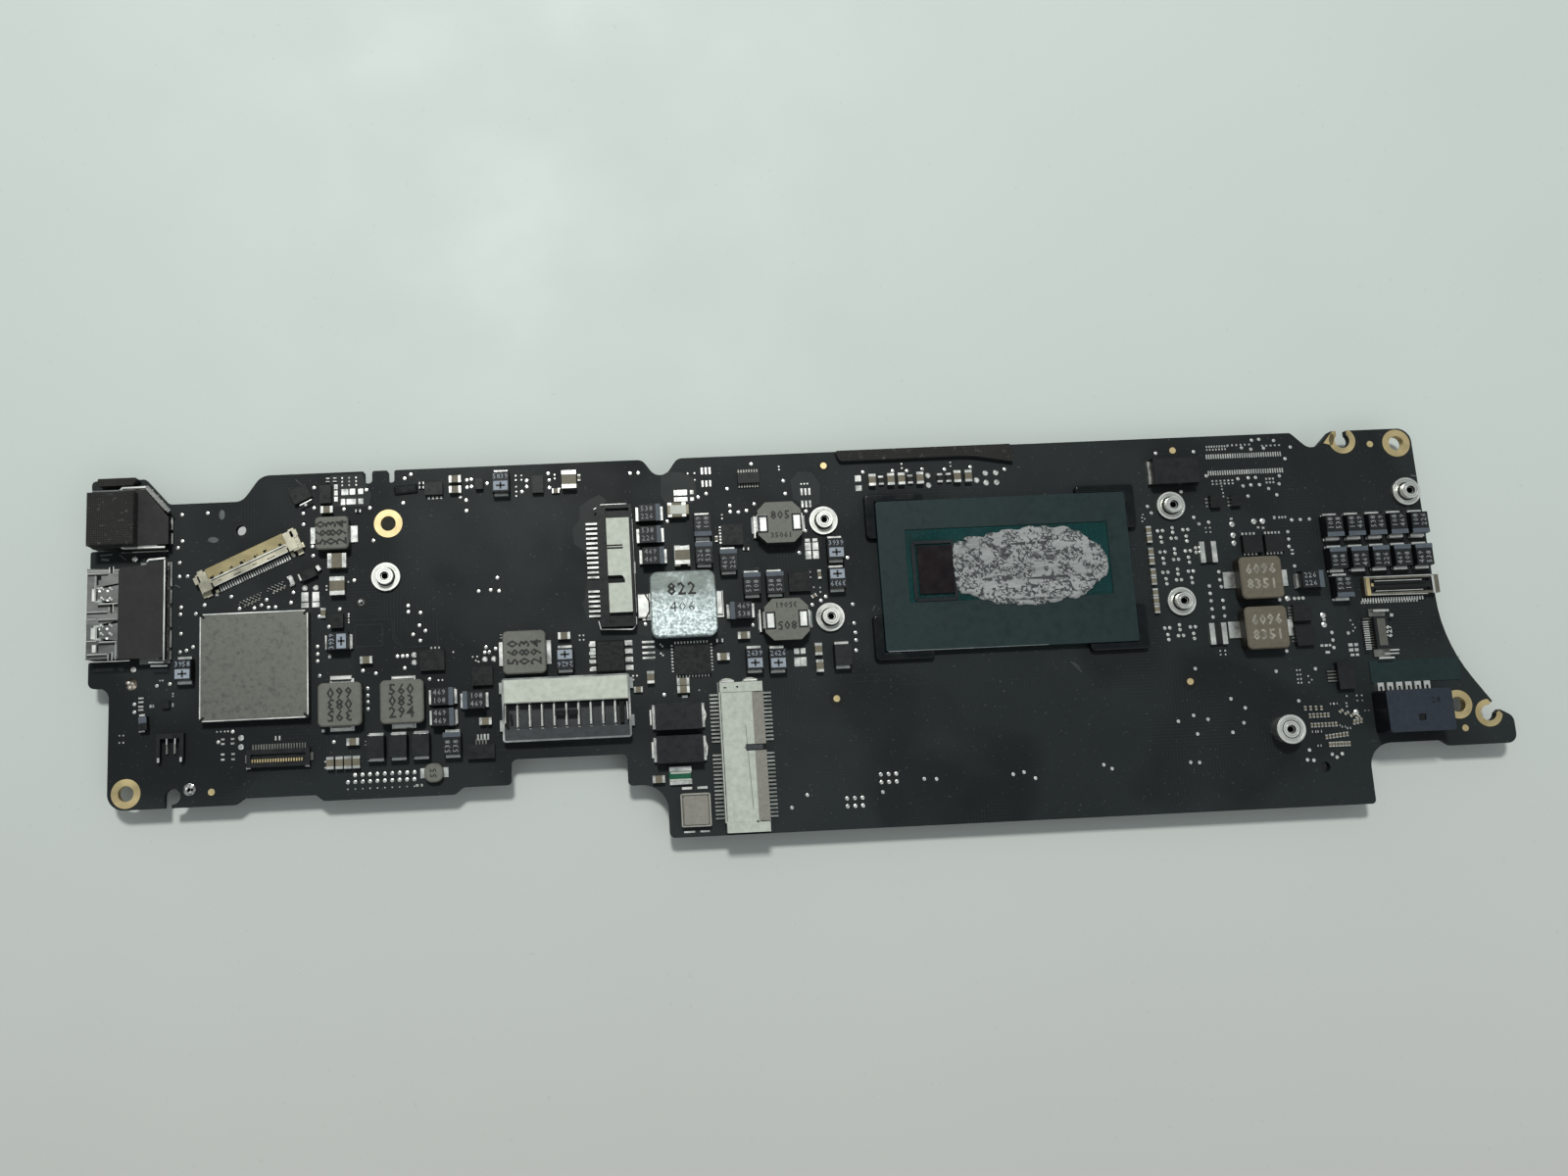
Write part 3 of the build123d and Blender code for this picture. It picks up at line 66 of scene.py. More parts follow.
# ---------------------------------------------------------------- materials
class Nodes:
    """Short calls for building one material's node tree."""

    def __init__(self, name):
        self.material = bpy.data.materials.new(name)
        self.material.use_nodes = True
        self.tree = self.material.node_tree
        self.shader = self.tree.nodes["Principled BSDF"]
        self.place = self.tree.nodes.new("ShaderNodeTexCoord").outputs["Object"]

    def add(self, kind, **settings):
        node = self.tree.nodes.new(kind)
        for key, value in settings.items():
            setattr(node, key, value)
        return node

    def link(self, source, target):
        self.tree.links.new(source, target)

    def stretched(self, stretch):
        node = self.add("ShaderNodeMapping")
        node.inputs["Scale"].default_value = stretch
        self.link(self.place, node.inputs["Vector"])
        return node.outputs["Vector"]

    def noise(self, scale, detail=4.0, rough=0.55, vector=None):
        node = self.add("ShaderNodeTexNoise")
        node.inputs["Scale"].default_value = scale
        node.inputs["Detail"].default_value = detail
        node.inputs["Roughness"].default_value = rough
        self.link(vector or self.place, node.inputs["Vector"])
        return node.outputs["Fac"]

    def cells(self, scale, **settings):
        node = self.add("ShaderNodeTexVoronoi", **settings)
        node.inputs["Scale"].default_value = scale
        self.link(self.place, node.inputs["Vector"])
        return node

    def wave(self, direction, scale, distortion=0.0):
        node = self.add("ShaderNodeTexWave", bands_direction=direction)
        node.inputs["Scale"].default_value = scale
        node.inputs["Distortion"].default_value = distortion
        self.link(self.place, node.inputs["Vector"])
        return node

    def axes(self, vector=None):
        node = self.add("ShaderNodeSeparateXYZ")
        self.link(vector or self.place, node.inputs["Vector"])
        return node.outputs

    def ramp(self, factor, *stops):
        node = self.add("ShaderNodeValToRGB")
        ramp = node.color_ramp
        while len(ramp.elements) < len(stops):
            ramp.elements.new(0.5)
        for element, (position, colour) in zip(ramp.elements, stops):
            element.position = position
            element.color = (*colour, 1.0)
        self.link(factor, node.inputs["Fac"])
        return node.outputs["Color"]

    def spread(self, factor, low, high, start=0.3, end=0.7):
        node = self.add("ShaderNodeMapRange")
        node.inputs["From Min"].default_value = start
        node.inputs["From Max"].default_value = end
        node.inputs["To Min"].default_value = low
        node.inputs["To Max"].default_value = high
        self.link(factor, node.inputs["Value"])
        return node.outputs["Result"]

    def feed(self, value, socket):
        """Writes a number or colour into a socket, or links another node's output to it."""
        if isinstance(value, (int, float)):
            socket.default_value = value
        elif isinstance(value, tuple):
            socket.default_value = (*value, 1.0)
        else:
            self.link(value, socket)

    def mix(self, factor, first, second, blend="MIX"):
        node = self.add("ShaderNodeMix", data_type="RGBA", blend_type=blend)
        # sockets 0, 6 and 7 and output 2 are the node's factor and its colours
        self.feed(factor, node.inputs[0])
        self.feed(first, node.inputs[6])
        self.feed(second, node.inputs[7])
        return node.outputs[2]

    def maths(self, operation, first, second=0.0):
        node = self.add("ShaderNodeMath", operation=operation)
        self.feed(first, node.inputs[0])
        self.feed(second, node.inputs[1])
        return node.outputs[0]

    def bump(self, height, depth, strength=1.0):
        node = self.add("ShaderNodeBump")
        node.inputs["Distance"].default_value = depth
        node.inputs["Strength"].default_value = strength
        self.link(height, node.inputs["Height"])
        self.link(node.outputs["Normal"], self.shader.inputs["Normal"])

    def colour(self, socket):
        self.link(socket, self.shader.inputs["Base Color"])

    def roughness(self, socket):
        self.link(socket, self.shader.inputs["Roughness"])

    def metal(self, amount):
        self.shader.inputs["Metallic"].default_value = amount

    def sheen(self, amount):
        self.shader.inputs["Specular IOR Level"].default_value = amount


class Sky(Nodes):
    """The same short calls for the world's node tree."""

    def __init__(self, name):
        self.world = bpy.data.worlds.new(name)
        self.world.use_nodes = True
        self.tree = self.world.node_tree
        self.place = self.tree.nodes.new("ShaderNodeTexCoord").outputs["Generated"]


def shade(colour, factor):
    return tuple(min(1.0, c * factor) for c in colour)


def moulded(name, colour, rough=0.5, vary=0.18, grain=900.0, depth=0.02, patch=60.0, sides=0.5):
    """Moulded epoxy, ferrite or plastic: mottled, finely pitted, uneven in gloss, with painted shade
    on its side faces.
    """
    n = Nodes(name)
    dim, bright = shade(colour, 1 - vary), shade(colour, 1 + vary)
    broad = n.ramp(n.noise(patch, 3.0), (0.3, dim), (0.7, bright))
    fine = n.ramp(n.noise(grain * 2, 2.0), (0.25, (0.78,) * 3), (0.75, (1.0,) * 3))
    # painted shade: faces that turn away from straight up are darkened, down to sides times the
    # colour
    facing = n.axes(n.add("ShaderNodeNewGeometry").outputs["True Normal"])["Z"]
    painted_side_shade = n.spread(n.maths("ABSOLUTE", facing), sides, 1.0, 0.2, 0.75)
    n.colour(n.mix(1.0, n.mix(1.0, broad, fine, "MULTIPLY"), painted_side_shade, "MULTIPLY"))
    n.roughness(n.spread(n.noise(grain), rough - 0.08, rough + 0.12))
    n.sheen(0.28)
    n.bump(n.noise(grain * 1.6, 5.0), depth * MM, 0.6)
    return n.material


def metal(name, colour, rough=0.3, vary=0.12, stretch=(1, 1, 1), grain=700.0, depth=0.008,
          stain=None):
    """Plated or tinned metal, drawn in one direction by stretch, with dull patches."""
    n = Nodes(name)
    drawn = n.stretched(stretch)
    streak = n.noise(grain, 4.0, vector=drawn)
    base = n.ramp(streak, (0.3, shade(colour, 1 - vary)), (0.7, shade(colour, 1 + vary)))
    if stain:
        base = n.mix(n.spread(n.noise(170.0, 5.0), 0.0, 0.7, 0.52, 0.66), base, stain)
    n.colour(base)
    n.metal(1.0)
    n.roughness(n.spread(n.noise(grain * 0.4, 3.0, vector=drawn), rough - 0.08, rough + 0.14))
    n.bump(streak, depth * MM, 0.5)
    return n.material


def solder_mask():
    """Matt black mask: faint copper pours and tracks under it, flux haze and dust."""
    n = Nodes("solder_mask")
    dark = (0.0048, 0.0068, 0.0074)
    pale = (0.0098, 0.0132, 0.0138)
    pour = n.ramp(n.noise(38.0, 2.0, 0.4), (0.44, dark), (0.5, pale))
    blocks = n.cells(150.0, distance="CHEBYCHEV").outputs["Color"]
    along = n.wave("X", 620.0).outputs["Color"]
    across = n.wave("Y", 620.0).outputs["Color"]
    tracks = n.mix(n.spread(blocks, 0.0, 1.0, 0.49, 0.5), along, across)
    tracks = n.ramp(tracks, (0.62, (0.0,) * 3), (0.72, (1.0,) * 3))
    where = n.spread(n.noise(52.0, 1.0), 0.0, 0.42, 0.5, 0.56)
    base = n.mix(n.maths("MULTIPLY", tracks, where), pour, shade(pale, 1.35))
    dust = n.spread(n.noise(2600.0, 2.0, 0.5), 0.0, 0.5, 0.69, 0.76)
    haze = n.spread(n.noise(17.0, 5.0, 0.6), 0.0, 0.22, 0.42, 0.72)
    base = n.mix(haze, base, (0.045, 0.05, 0.05))
    n.colour(n.mix(dust, base, (0.1, 0.105, 0.105)))
    n.roughness(n.spread(n.noise(90.0, 4.0), 0.5, 0.66))
    n.sheen(0.2)
    n.bump(n.noise(1500.0, 3.0), 0.004 * MM, 0.5)
    return n.material


def woven_foam(name, colour):
    """Conductive cloth over foam: a fine plain weave with fuzzy dust."""
    n = Nodes(name)
    warp, weft = (n.wave(direction, 900.0, 0.6).outputs["Fac"] for direction in "XY")
    weave = n.maths("MULTIPLY", warp, weft)
    cloth = n.ramp(weave, (0.0, shade(colour, 0.55)), (0.8, shade(colour, 1.35)))
    fuzz = n.spread(n.noise(1400.0, 4.0), 0.0, 0.5, 0.6, 0.75)
    n.colour(n.mix(fuzz, cloth, (0.16, 0.155, 0.15)))
    n.sheen(0.2)
    n.roughness(n.spread(n.noise(300.0), 0.75, 0.95))
    n.bump(weave, 0.05 * MM, 0.8)
    return n.material


def die_silicon():
    """Bare silicon: near black with a faint purple cast, glossy in patches."""
    n = Nodes("die_silicon")
    n.colour(n.ramp(n.noise(160.0, 4.0), (0.35, (0.006, 0.0035, 0.005)), (0.7, (0.013, 0.008, 0.01))))
    n.roughness(n.spread(n.noise(500.0, 5.0), 0.14, 0.34))
    n.sheen(0.3)
    n.bump(n.noise(900.0), 0.003 * MM, 0.4)
    return n.material


def substrate_teal():
    """Package substrate: teal mask with fine dotted copper showing through."""
    n = Nodes("substrate_teal")
    base = n.ramp(n.noise(120.0, 3.0), (0.3, (0.0015, 0.02, 0.02)), (0.7, (0.003, 0.034, 0.034)))
    dots = n.spread(n.cells(2200.0).outputs["Distance"], 0.5, 0.0, 0.1, 0.35)
    n.colour(n.mix(dots, base, (0.006, 0.08, 0.078)))
    n.roughness(n.spread(n.noise(200.0), 0.22, 0.4))
    n.sheen(0.25)
    n.bump(n.noise(700.0), 0.004 * MM, 0.4)
    return n.material


def dried_paste():
    """Dried thermal paste: pale and wiped along, dark where its cracks open."""
    n = Nodes("dried_paste")
    pale = (0.285, 0.292, 0.29)
    wiped = n.noise(260.0, 5.0, 0.6, n.stretched((0.35, 1.6, 1.0)))
    base = n.ramp(wiped, (0.3, shade(pale, 0.72)), (0.7, shade(pale, 1.15)))
    opened = n.add("ShaderNodeAttribute", attribute_name="crack").outputs["Fac"]
    opened = n.spread(opened, 0.0, 1.0, 0.15, 0.6)
    n.colour(n.mix(opened, base, (0.035, 0.036, 0.04)))
    n.roughness(n.spread(wiped, 0.5, 0.8))
    n.bump(wiped, 0.05 * MM, 0.7)
    return n.material


def choke_can():
    """Tinned choke: grey-green behind, with a painted reflection of bright glitter over its front
    half.
    """
    n = Nodes("choke_can")
    low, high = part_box("large_choke")
    depth = high.y - low.y
    # painted reflection: the colour turns from grey-green into bright glitter towards the front,
    # where the lamp's reflection falls
    front = n.spread(n.axes()["Y"], 1.0, 0.0, low.y + 0.35 * depth, low.y + 0.8 * depth)
    wander = n.spread(n.noise(420.0, 4.0), -0.35, 0.35)
    lit = n.spread(n.maths("ADD", front, wander), 0.0, 1.0, 0.1, 0.9)
    glitter_reflection = n.ramp(n.noise(2300.0, 4.0), (0.38, (0.3, 0.36, 0.36)), (0.62, (0.9, 0.98, 0.98)))
    n.colour(n.mix(lit, (0.2, 0.225, 0.215), glitter_reflection))
    n.metal(0.55)
    n.roughness(n.spread(n.noise(900.0), 0.32, 0.55))
    n.bump(n.noise(1500.0, 4.0), 0.05 * MM, 0.7)
    return n.material


MASK = solder_mask()
SOLDER = metal("solder", (0.86, 0.85, 0.82), 0.3, 0.12, grain=1500.0, depth=0.02)
TIN = metal("bright_tin", (0.72, 0.72, 0.7), 0.22, 0.1)
NICKEL = metal("dull_nickel", (0.66, 0.66, 0.62), 0.36, 0.14, grain=900.0)
# bright tin for real feet, wires and contacts, and for thin strips of painted highlight along edges
TIN_AND_HIGHLIGHT = metal("bright_tin_and_painted_highlight", (0.9, 0.89, 0.86), 0.36, 0.06)
SHIELD = metal("shield_tin", (0.165, 0.168, 0.15), 0.46, 0.06, grain=3600.0, depth=0.012)
COVER = moulded("tinned_cover", (0.5, 0.525, 0.47), 0.3, 0.05, 700.0, 0.006)
LID = moulded("beige_lid", (0.27, 0.255, 0.225), 0.4, 0.08, 1200.0, 0.01)
SOCKET_GREY = moulded("socket_grey", (0.05, 0.054, 0.058), 0.4)
GOLD = metal("gold_plate", (0.72, 0.57, 0.31), 0.42, 0.08, stain=(0.5, 0.38, 0.2))
PALE_GOLD = metal("pale_gold", (0.5, 0.465, 0.37), 0.4, 0.12)
TAN_GOLD = metal("tan_gold", (0.33, 0.275, 0.155), 0.42, 0.14, (0.4, 1, 1), stain=(0.26, 0.21, 0.12))
PORT = metal("port_sheet", (0.27, 0.27, 0.265), 0.34, 0.16, (1, 3, 1), 300.0,
             stain=(0.17, 0.165, 0.155))
EPOXY = moulded("black_epoxy", (0.012, 0.0135, 0.0155), 0.42)
CHIP = moulded("chip_epoxy", (0.0125, 0.0135, 0.014), 0.35, grain=1300.0)
SOCKET = moulded("socket_black", (0.012, 0.013, 0.0145), 0.38)
# near black, for real gaps and holes and for painted shade in recesses and beside parts
GAP_AND_SHADE = moulded("dark_gap_and_painted_shade", (0.003, 0.003, 0.0035), 0.7, 0.1)
FAN = moulded("fan_socket", (0.021, 0.027, 0.038), 0.42, sides=0.2)
FILM = moulded("black_film", (0.0085, 0.0215, 0.0225), 0.48, 0.12, 500.0, 0.008, 90.0)
CLOTH = moulded("cloth_film", (0.021, 0.0205, 0.02), 0.6, 0.12, 900.0, 0.05, 400.0)
FOAM = woven_foam("black_foam", (0.028, 0.027, 0.026))
RESIN = moulded("black_resin", (0.004, 0.0055, 0.0065), 0.24, 0.2, 300.0, 0.04)
WARM_FERRITE = moulded("grey_ferrite", (0.155, 0.153, 0.135), 0.55, 0.1, 900.0, 0.03, sides=0.2)
BROWN_FERRITE = moulded("brown_ferrite", (0.125, 0.105, 0.078), 0.55, 0.1, 900.0, 0.03, sides=0.15)
CERAMIC = moulded("tan_ceramic", (0.17, 0.15, 0.11), 0.4, 0.15)
CREAM = moulded("cream_plastic", (0.56, 0.58, 0.51), 0.34, 0.04, 500.0, 0.006)
SILICON = die_silicon()
TEAL = substrate_teal()

# What each CAD node is painted with.
PAINTED = [
    (MASK, "circuit_board"),
    (GOLD, "plated_hole_rings"),
    (PORT, "usb_port_shell video_port_shell"),
    (SOCKET, "usb_port_tongue video_port_tongue ribbon_connector_housings"),
    (SOCKET, "card_connector_housing display_connector_housing side_board_connector_core"),
    (FILM, "insulating_films cpu_film"),
    (FOAM, "port_foam_pads edge_gasket"),
    (TEAL, "cpu_package"),
    (SILICON, "cpu_die chipset_die"),
    (RESIN, "cpu_corner_bonds"),
    (NICKEL, "heat_sink_standoffs card_standoffs drive_standoff"),
    (SHIELD, "port_controller_shield"),
    (TIN, "core_choke_straps battery_connector_frame"),
    (LID, "crystal_can"),
    (choke_can(), "large_choke"),
    (SOCKET_GREY, "battery_connector_housing"),
    (WARM_FERRITE, "power_chokes small_choke round_choke core_chokes"),
    (BROWN_FERRITE, "input_chokes"),
    (SOLDER, "choke_feet capacitor_feet ceramic_capacitor_ends sense_resistor_terminals"),
    (SOLDER, "audio_amplifier_leads card_connector_contacts battery_connector_contacts"),
    (SOLDER, "display_connector_contacts fan_connector_contacts"),
    (metal("drive_pins", (0.4, 0.41, 0.39), 0.36, 0.3), "drive_connector_contacts"),
    (metal("dull_contacts", (0.3, 0.29, 0.27), 0.35, 0.3), "ribbon_connector_contacts"),
    (EPOXY, "tantalum_capacitors polymer_capacitors moulded_capacitors"),
    (CERAMIC, "ceramic_capacitors"),
    (CHIP, "sense_resistors power_controllers audio_amplifier memory_chips underside_controllers"),
    (COVER, "drive_connector_housing drive_connector_end_bars"),
    (CREAM, "card_connector_cover battery_connector_cover"),
    (PALE_GOLD, "display_connector_shell"),
    (metal("dull_rim", (0.26, 0.235, 0.19), 0.4, 0.3), "side_board_connector_rim"),
    (FAN, "fan_connector_housing"),
]
for material, nodes in PAINTED:
    for node in nodes.split():
        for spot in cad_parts[node].material_slots:
            spot.material = material


# ---------------------------------------------------------------- geometry
def numbers(text, count):
    """The numbers in a text, in groups of count."""
    values = [float(v) for v in text.split()]
    return [values[i:i + count] for i in range(0, len(values), count)]


def turned(corners, x, y, turn):
    """Corners turned by turn degrees and then moved to x, y."""
    c, s = math.cos(math.radians(turn)), math.sin(math.radians(turn))
    return [(x + a * c - b * s, y + a * s + b * c) for a, b in corners]


def seen(x, y, z=TOP):
    """Where a point lies at height z when it shows at x, y on the level of the board's top."""
    share = (EYE_HEIGHT + TOP - z) / EYE_HEIGHT
    return EYE_X + (x - EYE_X) * share, EYE_Y + (y - EYE_Y) * share


def placed(name, data):
    """A new object in the scene for a mesh, lamp, camera or text."""
    thing = bpy.data.objects.new(name, data)
    bpy.context.scene.collection.objects.link(thing)
    return thing


class Piece:
    """Collects boxes and discs, in millimetres, into one mesh that rides on the board."""

    def __init__(self, name, material, slot):
        self.name = name
        self.material = material
        self.slot = slot
        self.points = []
        self.faces = []

    def ring(self, corners, z):
        start = len(self.points)
        self.points += [(x * MM, y * MM, z * MM) for x, y in corners]
        return list(range(start, len(self.points)))

    def stack(self, layers):
        """A closed solid through layers of equal corner counts, given as (corners, z)."""
        rings = [self.ring(corners, z) for corners, z in layers]
        count = len(rings[0])
        self.faces.append(rings[0][::-1])
        for low, high in zip(rings, rings[1:]):
            for i in range(count):
                j = (i + 1) % count
                self.faces.append([low[i], low[j], high[j], high[i]])
        self.faces.append(rings[-1])

    def box(self, x, y, length, width, height, base=TOP, turn=0.0, bevel=0.0):
        def corners(inset):
            a, b = length / 2 - inset, width / 2 - inset
            return turned([(-a, -b), (a, -b), (a, b), (-a, b)], x, y, turn)

        layers = [(corners(0), base)]
        if bevel:
            layers.append((corners(0), base + height - bevel))
        layers.append((corners(bevel), base + height))
        self.stack(layers)

    def disc(self, x, y, radius, height=SKIN, base=TOP, sides=14, dome=0.0):
        def circle(r):
            angles = [2 * math.pi * i / sides for i in range(sides)]
            return [(x + r * math.cos(a), y + r * math.sin(a)) for a in angles]

        layers = [(circle(radius), base), (circle(radius), base + height)]
        if dome:
            layers.append((circle(0.55 * radius), base + height + dome))
        self.stack(layers)

    def annulus(self, x, y, outer, inner, height=SKIN, base=TOP, sides=28):
        start = len(self.points)
        for r, z in ((outer, base), (outer, base + height), (inner, base + height), (inner, base)):
            for i in range(sides):
                a = 2 * math.pi * i / sides
                self.points.append(((x + r * math.cos(a)) * MM, (y + r * math.sin(a)) * MM, z * MM))
        for level in range(4):
            for i in range(sides):
                j = (i + 1) % sides
                a, b = start + level * sides, start + (level + 1) % 4 * sides
                self.faces.append([a + i, a + j, b + j, b + i])

    def build(self):
        mesh = bpy.data.meshes.new(self.name)
        mesh.from_pydata(self.points, [], self.faces)
        mesh.validate()
        mesh.materials.append(self.material)
        piece = placed(self.name, mesh)
        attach(piece, "root")


def bars(piece, z, height, text, bevel=0.0):
    """Straight bars as seen from above: x0 y0 x1 y1 width, one bar after another."""
    for x0, y0, x1, y1, width in numbers(text, 5):
        (x0, y0), (x1, y1) = seen(x0, y0, z), seen(x1, y1, z)
        length = math.hypot(x1 - x0, y1 - y0)
        turn = math.degrees(math.atan2(y1 - y0, x1 - x0))
        piece.box((x0 + x1) / 2, (y0 + y1) / 2, length, width, height, z, turn, bevel)


def patch(piece, z, height, text):
    """A flat plate whose corners are seen from above at x y, x y and so on."""
    corners = [seen(x, y, z) for x, y in numbers(text, 2)]
    piece.stack([(corners, z), (corners, z + height)])


def trim(name, material, slot, *layers):
    """A whole piece made of bars, each layer being their z, height, text and bevel."""
    piece = Piece(name, material, slot)
    for layer in layers:
        bars(piece, *layer)
    piece.build()


def four_sides(piece, z, height, x0, x1, y0, y1, width, bevel=0.0):
    """A rectangle drawn with four bars, as seen from above."""
    for ends in ((x0, y0, x1, y0), (x0, y1, x1, y1), (x0, y0, x0, y1), (x1, y0, x1, y1)):
        bars(piece, z, height, " ".join(str(v) for v in (*ends, width)), bevel)


# ---------------------------------------------------------------- bare pads and dots
# Places as x y, x y and so on.
TEST_POINTS = numbers("""
    8.1 43.2  12.15 43.3  8.2 38.95  7.5 37.9  7.8 35.5  7.8 33.3  9.05 33.3  13.7 30.2
    15.9 29.75  11.75 28.6  10.4 27.3  8.1 28.4  8 27.3  8.1 24.25  10 22.1  9 21.6  8 21.4
    17.2 27.8  19.5 27.8  20.6 28.2  21.4 29  21.7 27.8  22.8 27.8  25.2 28.4  25.6 30
    28.9 46.7  28.9 43.4  27.2 42.6  27.2 40.8  28.6 37.2  28.7 35.7  29.3 21.3  29.3 20.1
    29.3 19  29.6 26  31.1 24.3  31.2 19.6  25.7 35.9  44.3 48.2  43.3 47.6  37.2 46
    33.6 43  37.7 43  43 43.6  52.1 44.2  53 43.6  53 41.9  38.2 37.7  32.8 27  35.1 31.5
    57.6 30.9  54.6 28.9  56.5 29  57.8 28.8  43.5 27.1  43.5 26.1  45.4 25.9  45.2 23.9
    46.1 23  44.2 22.5  45.3 21.5  41.7 19.2  42.5 19.2  43.2 19.2  42.8 17.3  36.3 17.2
    55.5 20  57 19.7  55.3 19.2  56 19.2  62.7 46.4  62.7 45.4  61.9 44.6  66.2 47.4
    66.3 46.3  66.3 45.1  53.2 46.9  53.9 47  53.2 45.7  53.9 45.8  56.4 46.2  79.3 46.9
    80.6 46.9  98.8 47.6  103.8 44.6  94.7 43.7  91.3 43  90 42.5  104 42.5  98.9 41
    97.6 40  95 40.9  95 39.9  96.3 39.8  84.9 38.8  107.1 39.5  106.8 36.3  105.6 32.8
    113.2 31.7  107.1 24.4  108.5 25  109.3 25.6  113.5 24.2  113.5 21.2  113.6 19.7
    113.6 18.5  113.5 16.9  97.5 21.6  80.6 22.5  83 11.3  104.3 -5.1  101.8 -6.9
    116.7 45.5  121.5 45.5  123.8 45.4  126.3 45.6  129.9 45.4  134.1 45.6  139.6 45
    162.1 37.9  162.6 36.8  164.4 46.6  170.6 46.6  167.8 40.1  169.4 35.8  170.1 34.7
    171.7 34.9  172.4 26.8  172.4 25.5  172.5 24.4  170.6 24.6  170.6 23.4  170.6 22.2
    170.6 20.9  170.6 19.6  172.5 22.2  172.5 21  172.5 19.7  166.8 11.6  171.9 6.6
    174 5.1  163.2 3.5  165.7 4.3  167.9 3.6  173.5 2.8  171.6 1.4  166 1.4  164.4 -2.9
    165.8 -3  179.6 10.6  182.6 5.8  185.9 10.7  183.3 -1.9  182.8 -3.4  183.8 -3.5
    186.8 -2.7  188.4 -2.7  187.5 -3.2  181.7 13.7  184.7 27.2  184.2 30.4  184.3 31.6
    184.3 32.8  185.2 34.7  186.6 34.7  188.1 34.7  189.3 15.1  189.3 16.3  189.3 13.9
    191.9 16.1  181.6 21.9  184 22  184.7 22  185.4 22  180.3 48.1  181.5 48.2  183.9 47.9
    178.5 46.9  180 46.6  182.1 46.7  186.5 46.7  185.4 44.8  172.2 42.5  177.3 41.8
    179 41.9  180.2 41.9  184.1 42  183.9 40.7  180.7 40.7  179.3 40.7  178 40.6  182.1 40
    178.6 38.9  183.3 38.9  4.5 16.3  6.5 16.5  1.1 13.6  1.1 12.4  14 7.2  16.2 8.7
    30.1 8.2  31.7 6.4  29.6 16.7  38.3 16.7  46.6 15.4  37 14.4  37 13.3  37 12.3
    37 11.2  116 -5.2  122.6 -3.5  124.5 -3.6  118.6 39.4
    136.5 -3.45  138.2 -3.2  139.9 -4.2  150.75 -2.65  152 -3.3
""", 2)
BRIGHT_BLOBS = numbers("""
    0.85 36.4  0.9 19  44.3 19.3  44.3 18.1  55.3 18.1  56.7 18.1  17.5 7.7  17.5 6.3
    182.9 22  175.4 34.4  175.4 32.6  175.4 31.3  179 34.7  180.4 34.7  127.1 44.5
    127.1 42.9  134.9 43.4  136.4 44.5  136.4 42.9  138.1 44.5  138.1 42.9  188.2 19.1
    188.2 17.6  27.4 30.6  29.1 30.6  191.5 3.6  93.4 11.9
""", 2)
SMALL_DOTS = numbers("""
    61 47.3  61 46.6  61.9 47.3  61.9 46.6  61 45.5  61 44.7  61 44  67.2 47.2  67.2 46.6
    67.9 44.9  88.5 46.5  89.6 46.5  89.6 45.4  103.2 47  103.2 46.5  106.6 44  107.1 44
    107.6 44  93.6 39.5  93.6 38.9  34.2 31.3  30.8 30.2  30.8 30.8  34.2 26.2  34.2 25.8
    34.2 25.3  34.2 24.9  50.4 19.5  53.4 18.6  54.1 18.6  53.9 18  54.3 17.8  108.5 27.1
    108.5 26.4  107.5 27.2  123 46.6  123 45.9  130.9 46.5  130.9 45.9  13.8 8.8  14.4 8.8
    15 8.8  15.5 8.8  48 15.2  48.6 15.2  70.2 21.2  70.2 20.5  70.8 21.2  70.8 20.5
    78.3 14.5  78.9 14.5  78.3 13.9  88.5 11.8  82.8 19.2  83.1 18.9  82.8 17.8  83.1 17.5
    -1.1 8.9  -0.5 8.9  -1.1 7.8  -0.5 7.8  5 17.1  5.4 17.1  7 15  7 14.6  7 13.4  7 13.1
    162.1 33.1  161.2 36.6  161 36.1  161.4 35.9  161 35.5  171.1 34  171.1 33.3  171.8 34
    171.8 33.3  171.1 14.2  171.1 13.6  171.9 14.2  171.9 13.6  182.9 10.6  183.4 10.6
    182.9 9.9  183.4 9.9  182.9 9.2  183.4 9.2  182.9 8.6  183.4 8.6  184.6 9.6  185.1 9
    184.6 8.6  192.5 18.1  192.8 17.4  193.1 16.9  192.7 16.4  174.5 41.2  174.5 40.7
    174.5 40.2  174.6 39.6  174.6 39  191.9 6.2  192.7 6.2  191.9 5.4  192.7 5.4
    190.3 6.2  190.1 5.1  190.1 4.6  192.9 3.8  193.5 3.8
""", 2)
GOLD_DOTS = numbers("""
    110.4 46.84  167.2 46.94  109.9 9.5  165.8 9.6  13 -0.34  199.6 46.64  208.45 0.37
""", 2)
# x, y of the first pad, count, pitch, and each pad's size along x and y
PAD_ROWS = """
    172.6 45.64 32 0.39 0.2 0.75  172.6 42.92 32 0.39 0.2 0.75  172.8 47.3 9 0.42 0.2 0.3
    172.8 46.8 7 0.5 0.2 0.3  176.3 47.4 6 0.7 0.25 0.3  181.9 47.1 5 0.7 0.3 0.25
    173.1 41.6 6 0.65 0.3 0.25  173.1 41.1 6 0.65 0.3 0.25  181.9 41.6 3 0.55 0.3 0.3
    181.9 41 3 0.55 0.3 0.3  176.9 32.75 4 0.62 0.3 0.4  176.9 29.45 4 0.62 0.3 0.4
    180.6 32.75 5 0.56 0.3 0.4  180.6 29.45 5 0.56 0.3 0.4  47.1 44.25 4 0.65 0.35 0.35
    85.1 19.35 11 0.5 0.22 0.35  85.1 14.05 11 0.5 0.22 0.35  90.8 46.8 3 0.62 0.32 1.1
    90.8 44.7 3 0.62 0.32 1  106.6 42.7 3 0.62 0.32 1.1  106.6 40.7 3 0.62 0.32 1.1
    53.9 6.1 4 0.52 0.28 0.9  194.7 20.9 20 0.47 0.22 0.5  183.2 35.2 3 0.5 0.3 0.35
    33.4 48.1 3 1.1 0.22 0.25  33.4 47.5 3 1.1 0.22 0.25  33.4 46.9 3 1.1 0.22 0.25
    47 20.3 3 0.6 0.25 0.3
"""
